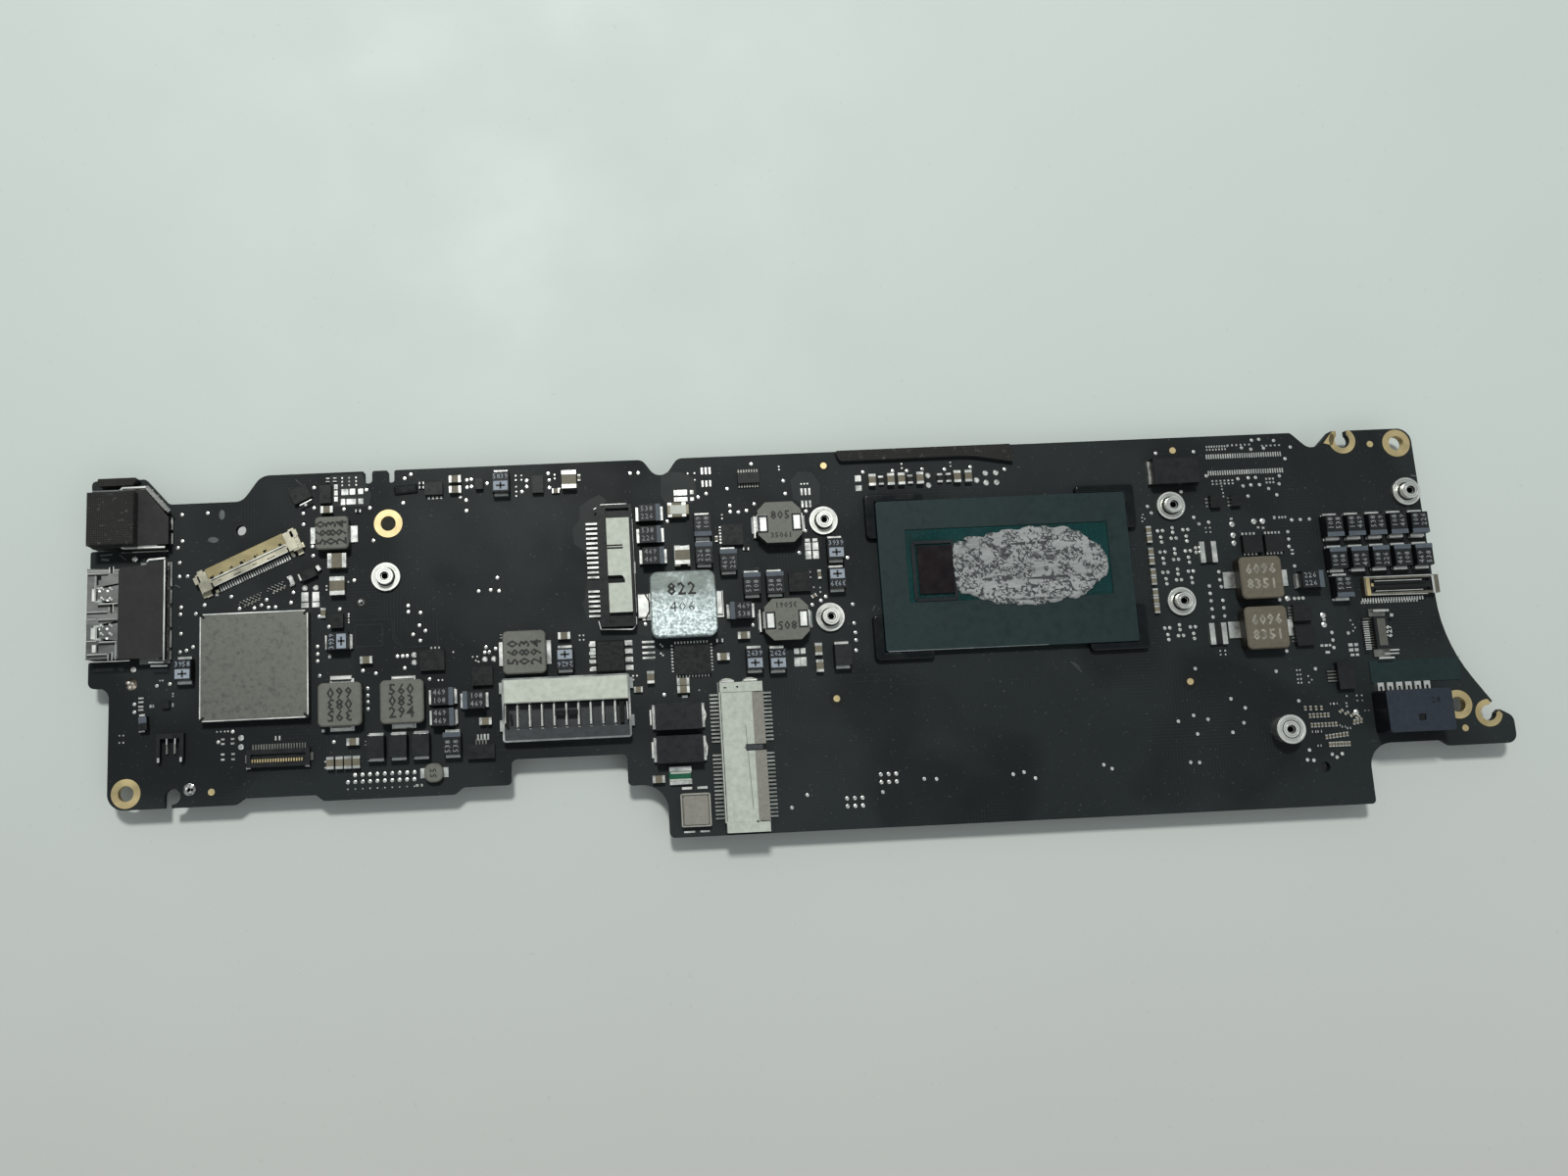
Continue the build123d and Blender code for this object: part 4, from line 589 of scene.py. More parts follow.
PAD_COLUMNS = """
    93.15 35 6 0.5 0.3 0.25  171.75 37.5 3 0.6 0.35 0.28  175.3 37.5 3 0.6 0.35 0.28
    183 19 4 0.5 0.55 0.25  183 15.2 4 0.55 0.55 0.25  72.2 15.9 5 1 0.9 0.55
    77.75 15.8 4 1.3 1.3 0.8
    48.9 17.1 5 0.55 0.3 0.28  84.55 14.9 9 0.5 0.3 0.22  90.75 14.9 9 0.5 0.3 0.22
"""
# x, y and size along x and y
SINGLE_PADS = """
    27.4 29.2 1.1 1.5  29.1 29.2 1.1 1.5  27.4 27.9 1.15 0.8  29.1 27.9 1.15 0.8  33.8 45.8 1.1 1
    35 45.8 0.9 1  36.3 45.8 0.8 0.9  33.5 44.2 0.7 1  34.8 44.2 1.5 0.9  36.3 44.2 0.8 0.9
    32.4 46.7 0.6 0.8  32.4 45.7 0.6 0.8  32.4 44.7 0.6 0.8  87.4 43.4 1.7 0.9  86.3 43.4 0.4 0.9
    89 43.4 0.6 0.7  87.4 42.3 1.7 0.7  86.3 42.3 0.4 0.7  89 42.3 0.6 0.6  115.8 44.5 1 1
    115.8 42.9 1 0.9  79.3 31.6 0.3 1.9  107 34.8 0.8 0.5  108.2 34.8 0.8 0.5  107 33.8 0.95 1.2
    108.2 33.8 0.95 1.2  107 32.4 0.95 1.3  108.2 32.4 0.95 1.3  104.1 17.2 0.8 0.9
    105.1 17.2 0.8 0.9
    104.1 15.5 0.95 1.4  105.1 15.5 0.95 1.4  80.9 19.7 2 0.35  80.9 18.9 2 0.35  80.9 18 2 0.35
    80.9 17.2 2 0.35  8.9 20.35 2.2 0.4  8.9 16.5 2.2 0.35  85.5 15 0.3 0.3  2.1 14.5 0.8 0.25
    2.1 13.9 0.8 0.25  2.1 13.2 0.8 0.25  2.1 12.7 0.8 0.25  3.6 13.2 0.35 0.5  4 13.2 0.25 0.5
    14.7 7.6 0.55 0.3  14.7 6.9 0.55 0.3  16.2 7.6 0.55 0.3  16.2 6.9 0.55 0.3  14.7 5.3 0.55 0.3
    14.7 4.5 0.55 0.3  16.3 5.3 0.55 0.3  16.3 4.5 0.55 0.3  22.8 7.4 0.25 0.7  23.4 7.4 0.25 0.7
    86.2 10.9 0.9 0.4  192 14.2 0.7 0.5  192.9 14.2 0.6 0.5  192 13.4 0.7 0.5  192.9 13.4 0.6 0.5
    192.1 12.6 0.6 0.4  192.9 12.6 0.5 0.4  187.4 14.3 0.5 0.4  188.1 14.3 0.5 0.4  188.7 14.3 0.4 0.4
    188.2 13.2 0.7 0.4  188.3 18.4 0.5 0.4  44.4 -0.8 0.4 0.4  45.1 -0.8 0.3 0.4  175.4 35.3 0.45 0.35
    179.6 33.7 0.4 0.35  180.4 33.6 0.4 0.35  182.4 35.2 0.4 0.5  184.6 29.8 0.5 0.3
    184.6 29.2 0.5 0.3
    27.6 44 0.4 0.4
"""


def cell_dots():
    """Four-dot decoupling cells beside the processor, in three columns and four rows."""
    left = [(-0.4, 1.2), (0.4, 1.2), (0.0, 0.15), (0.05, -0.65)]
    middle = [(0.0, 1.5), (0.0, 0.75), (-0.35, -0.2), (0.45, -0.2)]
    places = []
    for x, y in ((163.7, 32.65), (163.7, 29.2), (163.8, 25.9), (163.1, 17.0)):
        places += [(x + a, y + b) for a, b in left]
        places += [(x + 2.0 + a, y + 0.1 + b) for a, b in middle]
        places += [(x + 4.1 + a, y + b) for a, b in left]
    return places + [(169.1, 30.8), (169.1, 30.1)]


def dot_grids():
    """Open rows of round pads along the front edge and on the plain field."""
    places = [(34.9 + 1.14 * i, 1.2) for i in range(9)] + [(33.8 + 1.13 * i, 0.15) for i in range(10)]
    places += [(110.4 + 1.2 * i, -5.9 - 1.2 * j) for i in range(3) for j in range(2)]
    places += [(115.9 + 1.2 * i, -2.5 - 1.2 * j) for i in range(3) for j in range(2)]
    return places


def pads():
    dots = Piece("test_points", SOLDER, "solder")
    for x, y in TEST_POINTS + cell_dots():
        dots.disc(x, y, 0.27, SKIN, sides=12, dome=0.02)
    for x, y in BRIGHT_BLOBS:
        dots.disc(x, y, 0.44, 0.08, sides=14, dome=0.12)
    for x, y in dot_grids():
        dots.disc(x, y, 0.3, SKIN, sides=12, dome=0.03)
    for x, y in SMALL_DOTS:
        dots.disc(x, y, 0.14, SKIN, sides=8)
    for i in range(10):
        dots.disc(33.8 + 1.13 * i, -0.9, 0.12, SKIN, sides=8)
    dots.build()

    gold = Piece("gold_marks", GOLD, "gold_plating")
    for x, y in GOLD_DOTS:
        gold.disc(x, y, 0.52, SKIN, sides=20)
    patch(gold, TOP, 0.05, "192.0 47.1 193.4 48.8 193.95 48.3 193.45 46.7")
    gold.build()

    flat = Piece("bare_pads", SOLDER, "solder")
    for x, y, count, pitch, length, width in numbers(PAD_ROWS, 6):
        for i in range(int(count)):
            flat.box(x + i * pitch, y, length, width, SKIN)
    for x, y, count, pitch, length, width in numbers(PAD_COLUMNS, 6):
        for i in range(int(count)):
            flat.box(x, y + i * pitch, length, width, SKIN)
    for x, y, length, width in numbers(SINGLE_PADS, 4):
        flat.box(x, y, length, width, 0.05, bevel=0.02)
    flat.build()


# ---------------------------------------------------------------- tiny chip parts
# x, y, count, step along x and y, length, width, turn, and 1 for brown or 0 for black
CHIP_ROWS = """
    183.4 4.6 4 0.85 -0.02 0.7 0.4 90 1  184 3.4 6 0.58 0 0.7 0.38 90 1
    184.1 1.9 8 0.55 0 0.7 0.38 90 1
    184.3 0.9 2 0.9 0 0.7 0.38 0 0  186.2 0 7 0.55 0.05 0.7 0.38 90 1
    186.6 -1.2 7 0.5 0 0.75 0.42 90 1
    188.3 1.7 3 0.8 -0.25 0.6 0.35 0 0  189 3.9 4 0.85 -0.35 0.75 0.45 30 1
    190.9 2.1 3 0.55 0.1 0.8 0.4 80 1  184.9 -1.3 1 0 0 0.6 0.35 0 0  187.7 5.1 2 0.6 0 0.6 0.35 0 0
    119.4 43.95 1 0 0 1.5 0.85 90 0  124.1 43.95 1 0 0 1.5 0.85 90 0  128.9 43.95 1 0 0 1.5 0.85 90 0
    130.3 43.95 1 0 0 1.5 0.85 90 0  17.3 28.6 7 0.53 0.23 0.55 0.3 68 0
    18.1 28.2 5 0.55 0.24 0.5 0.3 68 1  21.7 30.6 5 0.55 0.24 0.55 0.3 68 0
    22.6 30.2 4 0.55 0.24 0.55 0.3 68 1  25.3 31.8 1 0 0 1.7 0.75 110 0
    106.9 29.2 1 0 0 1.1 0.55 90 0
    108.5 29.2 1 0 0 1.5 0.6 90 1  97.1 33.8 1 0 0 1 0.5 0 0  92.5 35.6 1 0 0 1 0.5 90 1
    67.3 44.5 1 0 0 1.2 0.8 0 1  71.1 46.5 1 0 0 1.1 0.5 90 1  79 12.3 1 0 0 1.4 0.9 0 1
    92.1 19.4 1 0 0 1.1 0.6 0 0  35.9 42.6 1 0 0 0.9 0.5 0 0  46 46 2 0 0.7 0.8 0.45 0 0
    30.3 26.5 1 0 0 1.6 0.8 90 1  31.2 47.8 2 1.1 0 0.7 0.6 90 0  181.2 22.6 1 0 0 0.9 0.5 0 0
    36.7 6 1 0 0 0.7 0.4 90 0  30.5 3 1 0 0 1.2 0.45 90 0  91 37.3 1 0 0 0.5 0.3 0 0
    107.4 25.8 1 0 0 0.9 0.6 25 1  57.9 21.6 1 0 0 0.6 0.35 90 0
"""


def chip_parts():
    """Resistors and capacitors of about 0.6 by 0.3 mm, each a body between two bright ends."""
    random.seed(7)
    black = Piece("tiny_resistors", CHIP, "black_moulding")
    brown = Piece("tiny_capacitors", CERAMIC, "tan_ceramic")
    ends = Piece("tiny_ends", SOLDER, "solder")
    for x, y, count, step_x, step_y, length, width, turn, is_brown in numbers(CHIP_ROWS, 9):
        for i in range(int(count)):
            place = (x + i * step_x, y + i * step_y)
            angle = turn + random.uniform(-2, 2)
            height = 0.55 * width
            body = brown if is_brown else black
            body.box(*place, 0.56 * length, width * 0.98, height, turn=angle, bevel=0.03)
            for side in (-1, 1):
                (end,) = turned([(side * 0.38 * length, 0)], *place, angle)
                ends.box(*end, 0.24 * length, width, 1.06 * height, turn=angle, bevel=0.04)
    black.box(*seen(2.3, 10.6, 2.2), 1.35, 2.1, 1.15, TOP + 0.05, 5, 0.08)
    for y in (9.45, 11.85):
        ends.box(*seen(2.3, y, 1.4), 0.9, 0.35, 0.5, TOP, 5, 0.05)
    black.box(6.0, 13.3, 1.2, 1.25, 0.5, bevel=0.03)
    for piece in (black, brown, ends):
        piece.build()


# ---------------------------------------------------------------- marks on the parts
LETTERS = {}  # points and faces of each text that has been drawn
DIGIT_HEIGHT = 0.69  # of the font's digits at size 1
MARK_ABOVE, MARK_BELOW = 0.012, 0.004  # how far a mark stands out of and sinks into its face


def number(piece, text, x, y, height, base, turn=0.0, weight=0.012):
    """Plain digits from Blender's own font, as thin closed solids centred on x, y."""
    if (text, weight) not in LETTERS:
        curve = bpy.data.curves.new("mark", "FONT")
        curve.body, curve.align_x, curve.align_y = text, "CENTER", "CENTER"
        curve.extrude, curve.offset = 0.01, weight
        curve.resolution_u, curve.space_character = 1, 1.15
        writing = placed("mark", curve)
        bpy.context.view_layer.update()
        shown = writing.evaluated_get(bpy.context.evaluated_depsgraph_get())
        mesh = bpy.data.meshes.new_from_object(shown)
        places, corner = {}, []
        for vertex in mesh.vertices:
            point = tuple(round(c, 5) for c in vertex.co)
            corner.append(places.setdefault(point, len(places)))
        sides = [[corner[i] for i in face.vertices] for face in mesh.polygons]
        whole = [side for side in sides if len(set(side)) == len(side)]
        LETTERS[text, weight] = list(places), whole
        bpy.data.objects.remove(writing)
        bpy.data.curves.remove(curve)
        bpy.data.meshes.remove(mesh)
    points, sides = LETTERS[text, weight]
    scale, start = height / DIGIT_HEIGHT, len(piece.points)
    for a, b, c in points:
        (place,) = turned([(a * scale, b * scale)], x, y, turn)
        z = base + (MARK_ABOVE if c > 0 else -MARK_BELOW)
        piece.points.append((place[0] * MM, place[1] * MM, z * MM))
    piece.faces += [[start + i for i in side] for side in sides]


def part_marks():
    """Made-up numbers, polarity stripes and printed ends on the chokes and capacitors."""
    dark = moulded("engraved_mark", (0.035, 0.034, 0.031), 0.7, 0.1)
    pale = moulded("printed_mark", (0.3, 0.305, 0.31), 0.6, 0.12)
    slate = moulded("polarity_stripe", (0.085, 0.1, 0.122), 0.5, 0.12)
    ink = moulded("terminal_print", (0.31, 0.345, 0.4), 0.5, 0.08)
    engraved = Piece("choke_numbers", dark, "grey_ferrite")
    printed = Piece("printed_numbers", pale, "grey_moulding")
    stripes = Piece("polarity_stripes", slate, "grey_moulding")
    blocks = Piece("terminal_prints", ink, "grey_moulding")

    choke_top, cap_top = TOP + 2.0, TOP + 1.9
    for text, x, y, turn in [
        ("560", 59.9, 18.75, 90), ("083", 61.7, 18.75, 90), ("294", 63.5, 18.75, 90),
        ("560", 42.55, 13.85, 0), ("083", 42.55, 12.1, 0), ("294", 42.55, 10.35, 0),
        ("395", 33.1, 10.4, 180), ("083", 33.1, 12.15, 180), ("660", 33.1, 13.9, 180),
        ("560", 30.5, 38.9, 90), ("083", 32.1, 38.9, 90), ("294", 33.7, 38.9, 90),
    ]:
        number(engraved, text, x, y, 1.65, choke_top, turn, 0.022)
    number(engraved, "822", 86.4, 27.4, 1.9, TOP + 3.0, 0, 0.02)
    number(engraved, "406", 86.4, 24.6, 1.7, TOP + 3.0, 0, -0.01)
    for x, y, turn in ((102.6, 38.6, 0), (102.6, 21.2, 180)):
        number(engraved, "805", x, y, 1.3, TOP + 2.2, turn, 0.02)
        drop = -3.2 if turn == 0 else 3.2
        number(engraved, "35061", x, y + drop, 0.85, TOP + 2.2, turn, 0.02)
    number(engraved, "55", 47.1, 1.0, 0.95, TOP + 1.1, 90, 0.02)
    worn = moulded("soft_mark", (0.3, 0.275, 0.235), 0.7, 0.4, patch=700.0)
    soft = Piece("input_choke_numbers", worn, "brown_ferrite")
    for y in (25.4, 17.35):
        number(soft, "6096", 177.9, y + 1.25, 1.5, TOP + 2.2, 0, 0.03)
        number(soft, "8351", 177.9, y - 1.1, 1.5, TOP + 2.2, 0, 0.03)
    soft.build()

    right = [190.9 + 3.45 * i for i in range(5)]
    # x, y, turn of the part, side of its stripe along its own length
    tantalums = [(82.0, 40.0, 0, 1), (82.0, 36.5, 0, 1), (82.3, 33.1, 0, 1), (48.75, 12.55, 0, 1)]
    tantalums += [(48.8, 9.4, 0, 1), (53.6, 11.8, 0, -1), (95.6, 23.85, 0, -1), (186.3, 24.75, 0, 1)]
    tantalums += [(90.3, 37.6, 90, -1), (90.3, 33.2, 90, 1), (94.1, 31.9, 90, 1), (97.6, 28.0, 90, 1)]
    tantalums += [(101.2, 28.0, 90, 1), (50.1, 5.3, 90, 1), (191.2, 23.4, 90, -1)]
    tantalums += [(x, 33.15, 90, -1) for x in right] + [(x, 27.95, 90, 1) for x in right]
    stripes.box(*seen(2.35, 11.15, 2.2), 1.2, 0.95, 0.012, TOP + 1.2, 5)
    for x, y, turn, side in tantalums:
        (stripe,) = turned([(side * 1.36, 0)], x, y, turn)
        stripes.box(*stripe, 0.72, 2.72, 0.012, cap_top, turn)
        (text,) = turned([(-side * 0.42, 0)], x, y, turn)
        for lift in (-0.62, 0.62):
            (line,) = turned([(0, lift)], *text, turn)
            code = random.choice(["108", "469", "226", "538"])
            number(printed, code, *line, 0.82, cap_top, turn, -0.004)

    # printed ends of the polymer capacitors, placed in the same way
    for x, y, turn, side in [
        (9.05, 18.45, 90, -1), (58.7, 46.0, 90, -1), (32.8, 21.8, 0, 1), (67.85, 17.55, 90, 1),
        (111.15, 33.0, 90, -1), (111.05, 28.3, 90, 1), (97.3, 16.15, 90, -1), (100.9, 16.0, 90, -1),
    ]:
        (block,) = turned([(side * 0.62, 0)], x, y, turn)
        blocks.box(*block, 1.45, 2.25, 0.012, cap_top, turn)
        for length, width in ((1.1, 0.3), (0.3, 1.4)):
            engraved.box(*block, length, width, 0.02, cap_top, turn)
        for row in (-0.6, 0.6):
            (line,) = turned([(-side * 0.85, row)], x, y, turn)
            code = random.choice(["26", "39", "58"])
            number(blocks, code, *line, 0.8, cap_top, turn + 90 * side, 0.0)
    for piece in (engraved, printed, stripes, blocks):
        piece.build()


# ---------------------------------------------------------------- ports
def ports():
    """Film, tabs and film edges of the two ports, with painted highlights on their rims and ribs and
    painted shade in their gaps, as they show from above.
    """
    film = Piece("port_film", CLOTH, "black_film")
    patch(film, 3.22, 0.12, "-1.55 20.7 5.35 20.7 5.35 35.9 2.9 35.9 2.6 35.4 -1.55 35.1")
    patch(film, 2.9, 0.16, "-1.4 38.6 6.05 38.6 6.05 42.9 2.3 47.55 -1.2 47.55")
    film.build()
    # painted shade: dark strips in the gaps beside the shells, and dark lines beside the painted
    # highlights on the shell tops
    trim("port_shade_strips", GAP_AND_SHADE, "socket_plastic", (
        1.3, 1.85, "5.72 20.3 5.72 35.7 .5",
    ), (
        1.6, 1.2, "2.75 47.85 6.0 43.75 .7  6.1 38.5 6.1 43.0 .4  -1.3 37.85 6.0 37.85 .5",
    ), (
        3.2, 0.02, """-2.75 34.3 -2.75 35.4 .3  -2.7 28.0 -2.7 29.4 .3  -2.75 20.6 -2.75 21.7 .3
        -4.8 29.15 -1.7 29.15 .35  -6.5 28.0 -3.3 28.0 .2  -4.7 26.75 -1.7 26.75 .22
        -4.6 23.15 -1.8 23.15 .3
        -5.0 30.0 -5.0 32.0 .2  -4.7 24.1 -4.7 25.8 .2  -4.7 21.9 -4.7 23.1 .2
        -6.4 34.05 -3.3 34.05 .2
        -4.9 32.5 -4.9 34.1 .25  -4.6 33.3 -4.6 34.0 .5  -6.3 21.3 -3.3 21.3 .2""",
    ))
    trim("port_tabs", PORT, "port_steel", (
        1.0, 0.5, """6.4 35.7 6.4 31.75 .52  6.4 31.3 6.4 29.0 .52  6.4 28.5 6.4 25.3 .52
        6.4 24.9 6.4 22.1 .52  6.4 21.7 6.4 20.2 .52  6.45 42.85 6.45 40.75 .55
        6.58 40.3 6.58 38.5 .3""", 0.08,
    ), (
        2.5, 0.42, "2.55 47.95 6.25 43.75 .62", 0.05,
    ))
    # painted highlights: bright strips along the shells' rims, ribs, tabs and slot ends
    port_highlights = Piece("port_rim_highlights", TIN_AND_HIGHLIGHT, "port_steel")
    bars(port_highlights, 3.2, 0.16, """5.52 20.2 5.52 36.1 .24  2.95 36.2 5.6 36.35 .3  2.75 35.85 3.0 36.2 .25
        3.2 20.0 5.5 19.92 .2  -6.4 20.42 0.3 20.42 .13  -3.05 34.3 -3.05 35.3 .14
        -2.45 34.3 -2.45 35.4 .14
        -6.5 34.35 -3.2 34.35 .13  -2.3 34.25 -1.7 34.25 .12  -5.25 30.0 -5.25 34.0 .12
        -4.7 29.5 -1.7 29.5 .16
        -6.6 28.25 -3.2 28.25 .12  -3.05 28.3 -3.05 29.0 .13  -2.4 28.1 -2.4 29.4 .13
        -4.7 27.05 -1.7 27.05 .13
        -6.4 27.1 -5.0 27.1 .12  -4.5 23.5 -1.7 23.5 .13  -6.4 23.7 -4.9 23.7 .12
        -6.3 21.6 -3.2 21.6 .14
        -3.05 20.6 -3.05 21.5 .13  -2.45 20.6 -2.45 21.9 .13  -1.9 20.7 -1.9 23.4 .12
        -6.55 20.8 -6.55 35.2 .14
        -5.45 31.95 -5.45 29.95 .55  -5.4 25.8 -5.4 24.0 .75  -5.25 23.1 -5.25 21.9 .6""", 0.04)
    bars(port_highlights, 1.2, 0.3, """3.6 19.42 6.2 19.35 .26  6.68 35.6 6.68 31.8 .09  6.68 31.2 6.68 29.1 .09
        6.68 28.4 6.68 25.4 .09  6.68 24.8 6.68 22.2 .09  6.68 21.6 6.68 20.3 .09
        6.12 35.6 6.12 20.3 .09
        6.25 42.8 6.25 40.8 .1  6.7 42.8 6.7 40.8 .12  6.72 40.25 6.72 38.55 .12""")
    bars(port_highlights, 2.6, 0.3, """-1.3 47.9 2.55 47.9 .36  -1.7 47.45 -1.25 47.85 .34  2.45 47.6 5.7 43.9 .1
        2.75 48.05 6.3 43.95 .12  5.6 44.35 6.25 43.85 .5  -1.0 38.2 5.6 38.12 .34
        -1.5 38.6 -1.0 38.2 .3
        3.3 47.2 3.6 47.4 .12  4.1 46.2 4.45 46.45 .12  4.8 45.35 5.1 45.6 .2""", 0.06)
    bars(port_highlights, 1.2, 0.3, """0.5 37.52 6.05 37.5 .26  -6.1 38.25 -2.1 38.35 .22
        -5.0 47.2 -2.5 47.2 .7""", 0.06)
    for x, y in ((-4.15, 31.95), (-2.85, 31.9), (-4.15, 30.4), (-2.85, 30.3),
                 (-4.15, 26.1), (-2.75, 26.1), (-4.1, 24.8), (-2.75, 24.75)):
        # each spring dimple shows as two small discs of painted highlight
        port_highlights.disc(*seen(x - 0.12, y + 0.1, 3.2), 0.2, 0.03, 3.2, 10)
        port_highlights.disc(*seen(x + 0.16, y - 0.14, 3.2), 0.14, 0.03, 3.2, 10)
    port_highlights.build()


# ---------------------------------------------------------------- trims of the larger parts
DISPLAY = (18.85, 35.02), 23.6  # middle and turn of the display connector


def display_bars(piece, z, height, text, bevel=0.0):
    """Boxes in the display connector's own frame: x y length width, one after another."""
    middle, turn = DISPLAY
    for a, b, length, width in numbers(text, 4):
        (place,) = turned([(a, b)], *middle, turn)
        piece.box(*place, length, width, height, z, turn, bevel)


def display_trim():
    """Gilt back plate with its row of holes, the painted highlight of its ridge, pale front plate and
    end brackets.
    """
    plate = Piece("display_back_plate", TAN_GOLD, "pale_gold")
    display_bars(plate, 2.15, 0.05, "0 0.95 13.1 1.7", 0.02)
    plate.build()
    pale = Piece("display_front_plate", PALE_GOLD, "pale_gold")
    display_bars(pale, 2.1, 0.08, "0 -0.82 12.6 0.95", 0.03)
    display_bars(pale, 2.15, 0.12, """-7.35 0.0 1.6 3.1  7.3 0.1 1.6 3.1
        -8.3 0.7 1.0 1.2  8.2 1.0 1.2 1.1""", 0.05)
    display_bars(pale, 1.0, 0.4, """-8.3 -1.75 0.7 0.9  8.35 -1.1 1.1 0.9
        -6.3 -2.0 0.6 0.6  6.6 -1.6 0.6 0.6""", 0.08)
    pale.build()
    # painted highlights along the ridge and the brackets' edges
    gleam = Piece("display_ridge_highlights", TIN_AND_HIGHLIGHT, "pale_gold")
    display_bars(gleam, 2.2, 0.05, """0 -0.16 12.8 0.13  0 -1.32 12.4 0.1
        -7.3 1.5 1.5 0.12  7.3 1.6 1.5 0.12  8.25 0.75 0.5 0.8""", 0.02)
    gleam.build()
    holes = Piece("display_holes", GAP_AND_SHADE, "socket_plastic")
    display_bars(holes, 2.2, 0.012, """0 -0.3 12.6 0.07  -7.0 -0.35 0.55 0.5  6.8 -0.35 0.5 0.5
        -6.2 .2 .25 .2  -5.7 .35 .2 .15  -4.6 .15 .3 .2  -2.9 .3 .2 .15
        -0.8 .2 .3 .25  -0.4 .4 .2 .2  1.7 .35 .2 .2  2.9 .3 .25 .2  3.3 .45 .25 .15  5.4 .3 .25 .2
        -6.0 .15 .5 .35  -4.3 .2 .35 .3  -1.0 .3 .5 .4  3.0 .35 .45 .35  1.3 .25 .3 .35
        5.6 .25 .4 .35  -2.6 .3 .3 .3  -5.1 -.75 .5 .1  -2.2 -1.0 1.2 .12
        0.8 -.85 .7 .1  3.5 -1.0 1.3 .12""")
    holes.build()


def choke_trim():
    """Straps and tinned feet of the chokes, with painted shade in the recesses round them."""
    feet = Piece("choke_terminals", TIN_AND_HIGHLIGHT, "tinned_steel")
    dark = Piece("choke_shade_strips", GAP_AND_SHADE, "grey_ferrite")
    # core chokes: rounded straps set in recesses of painted shade, and the strip at the left
    for x, y in ((100.1, 37.7), (105.5, 37.85), (100.35, 22.2), (105.55, 22.3)):
        place = seen(x, y, 3.2)
        dark.box(*place, 1.55, 2.75, 0.03, 3.2, 0)
        feet.box(*place, 1.15, 2.3, 0.14, 3.2, 0, 0.1)
    bars(feet, 1.2, 0.4, "98.65 39.0 98.65 35.4 .35  98.65 24.0 98.65 20.4 .35", 0.08)
    # painted shade beside the strip at the left
    bars(dark, 1.2, 0.5, "98.95 39.0 98.95 35.4 .25  98.95 24.0 98.95 20.4 .25")
    # large choke: wide feet each side, and a curved line of painted shade along the strap
    bars(feet, 1.2, 0.5, "80.4 27.3 80.4 23.5 1.9  92.4 27.3 92.4 23.5 1.0", 0.15)
    bars(dark, 1.7, 0.06, "80.7 27.4 81.3 26.2 .2  81.3 26.2 81.35 24.6 .2  81.35 24.6 80.7 23.4 .2")
    # power chokes: pale tinned feet in front and behind
    bars(feet, 1.15, 0.3, """31.2 16.25 34.6 16.25 .75  40.8 15.85 44.2 15.85 .5  31.4 8.5 34.5 8.5 .3
        40.9 8.4 44.1 8.4 .8""", 0.12)
    # painted shade along the feet
    bars(dark, 1.46, 0.02, "31.4 15.85 34.4 15.85 .18  41.0 8.75 44.0 8.75 .12")
    feet.build()
    dark.build()


def cap_ends():
    """The bright solder that shows beside the moulded capacitors."""
    ends = Piece("capacitor_gleams", TIN_AND_HIGHLIGHT, "solder")
    right = [190.35 + 3.48 * i for i in range(5)]
    for x in right:
        bars(ends, 1.2, 0.15, f"""{x - 0.55} 31.2 {x + 1.75} 31.15 .42
            {x - 0.55} 26.1 {x + 1.75} 26.05 .3""", 0.08)
        bars(ends, 1.2, 0.2, f"""{x - 0.5} 35.0 {x} 35.0 .35
            {x - 0.5} 29.9 {x + 1.2} 29.9 .3""", 0.08)
    bars(ends, 1.2, 0.2, """189.9 25.3 192.2 25.35 .2  190 21.5 192.2 21.5 .35
        184.5 25.8 184.5 23.6 .5
        7.8 20.35 10.0 20.3 .2  7.8 16.45 10.0 16.5 .22  34.35 23.1 34.35 20.6 .25
        96.2 14.3 98.5 14.3 .2
        99.8 14.1 102.1 14.1 .2  36.9 7.15 39.1 7.15 .25  40.4 7.2 42.5 7.25 .2  43.9 7.2 46.1 7.25 .2
        36.9 3.3 39.1 3.2 .16  40.5 3.35 42.7 3.3 .14  43.9 3.35 46.1 3.3 .14  49.0 7.2 50.9 7.2 .3
        48.9 3.3 51.0 3.25 .2  50.45 13.9 50.45 11.4 .28  50.45 10.6 50.45 8.1 .3
        55.4 12.9 55.4 10.7 .2
        80.7 9.1 80.7 6.7 .3  88.9 9.2 89.3 7.9 .35  89.3 7.9 88.9 6.6 .3  80.8 4.1 80.8 1.6 .35
        88.9 4.1 89.3 3.0 .35  89.3 3.0 89.1 1.6 .3""", 0.08)
    ends.build()


def shield_trim():
    """Painted highlights along the edges and dark corner notches of the port controllers' shield."""
    low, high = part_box("port_controller_shield")
    x0, x1, y0, y1 = (v / MM for v in (low.x, high.x, low.y, high.y))
    z = high.z / MM
    # painted highlights: thin bright strips along the lid's edges
    edge = Piece("shield_edge_highlights", TIN_AND_HIGHLIGHT, "tinned_steel")
    for y in (y0 + 0.1, y1 - 0.1):
        edge.box((x0 + x1) / 2, y, x1 - x0 - 1.0, 0.18, 0.03, z, 0, 0.01)
    for x in (x0 + 0.1, x1 - 0.1):
        edge.box(x, (y0 + y1) / 2, 0.18, y1 - y0 - 1.0, 0.03, z, 0, 0.01)
    edge.build()
    notch = Piece("shield_notches", GAP_AND_SHADE, "tinned_steel")
    for x, y, turn in ((x0, y0, 45), (x1, y1, 45), (x0, y1, -45), (x1, y0, -45)):
        side_x, side_y = (1 if x == x0 else -1), (1 if y == y0 else -1)
        notch.box(x + side_x * 0.36, y + side_y * 0.36, 0.95, 0.34, 0.035, z, turn)
    notch.build()


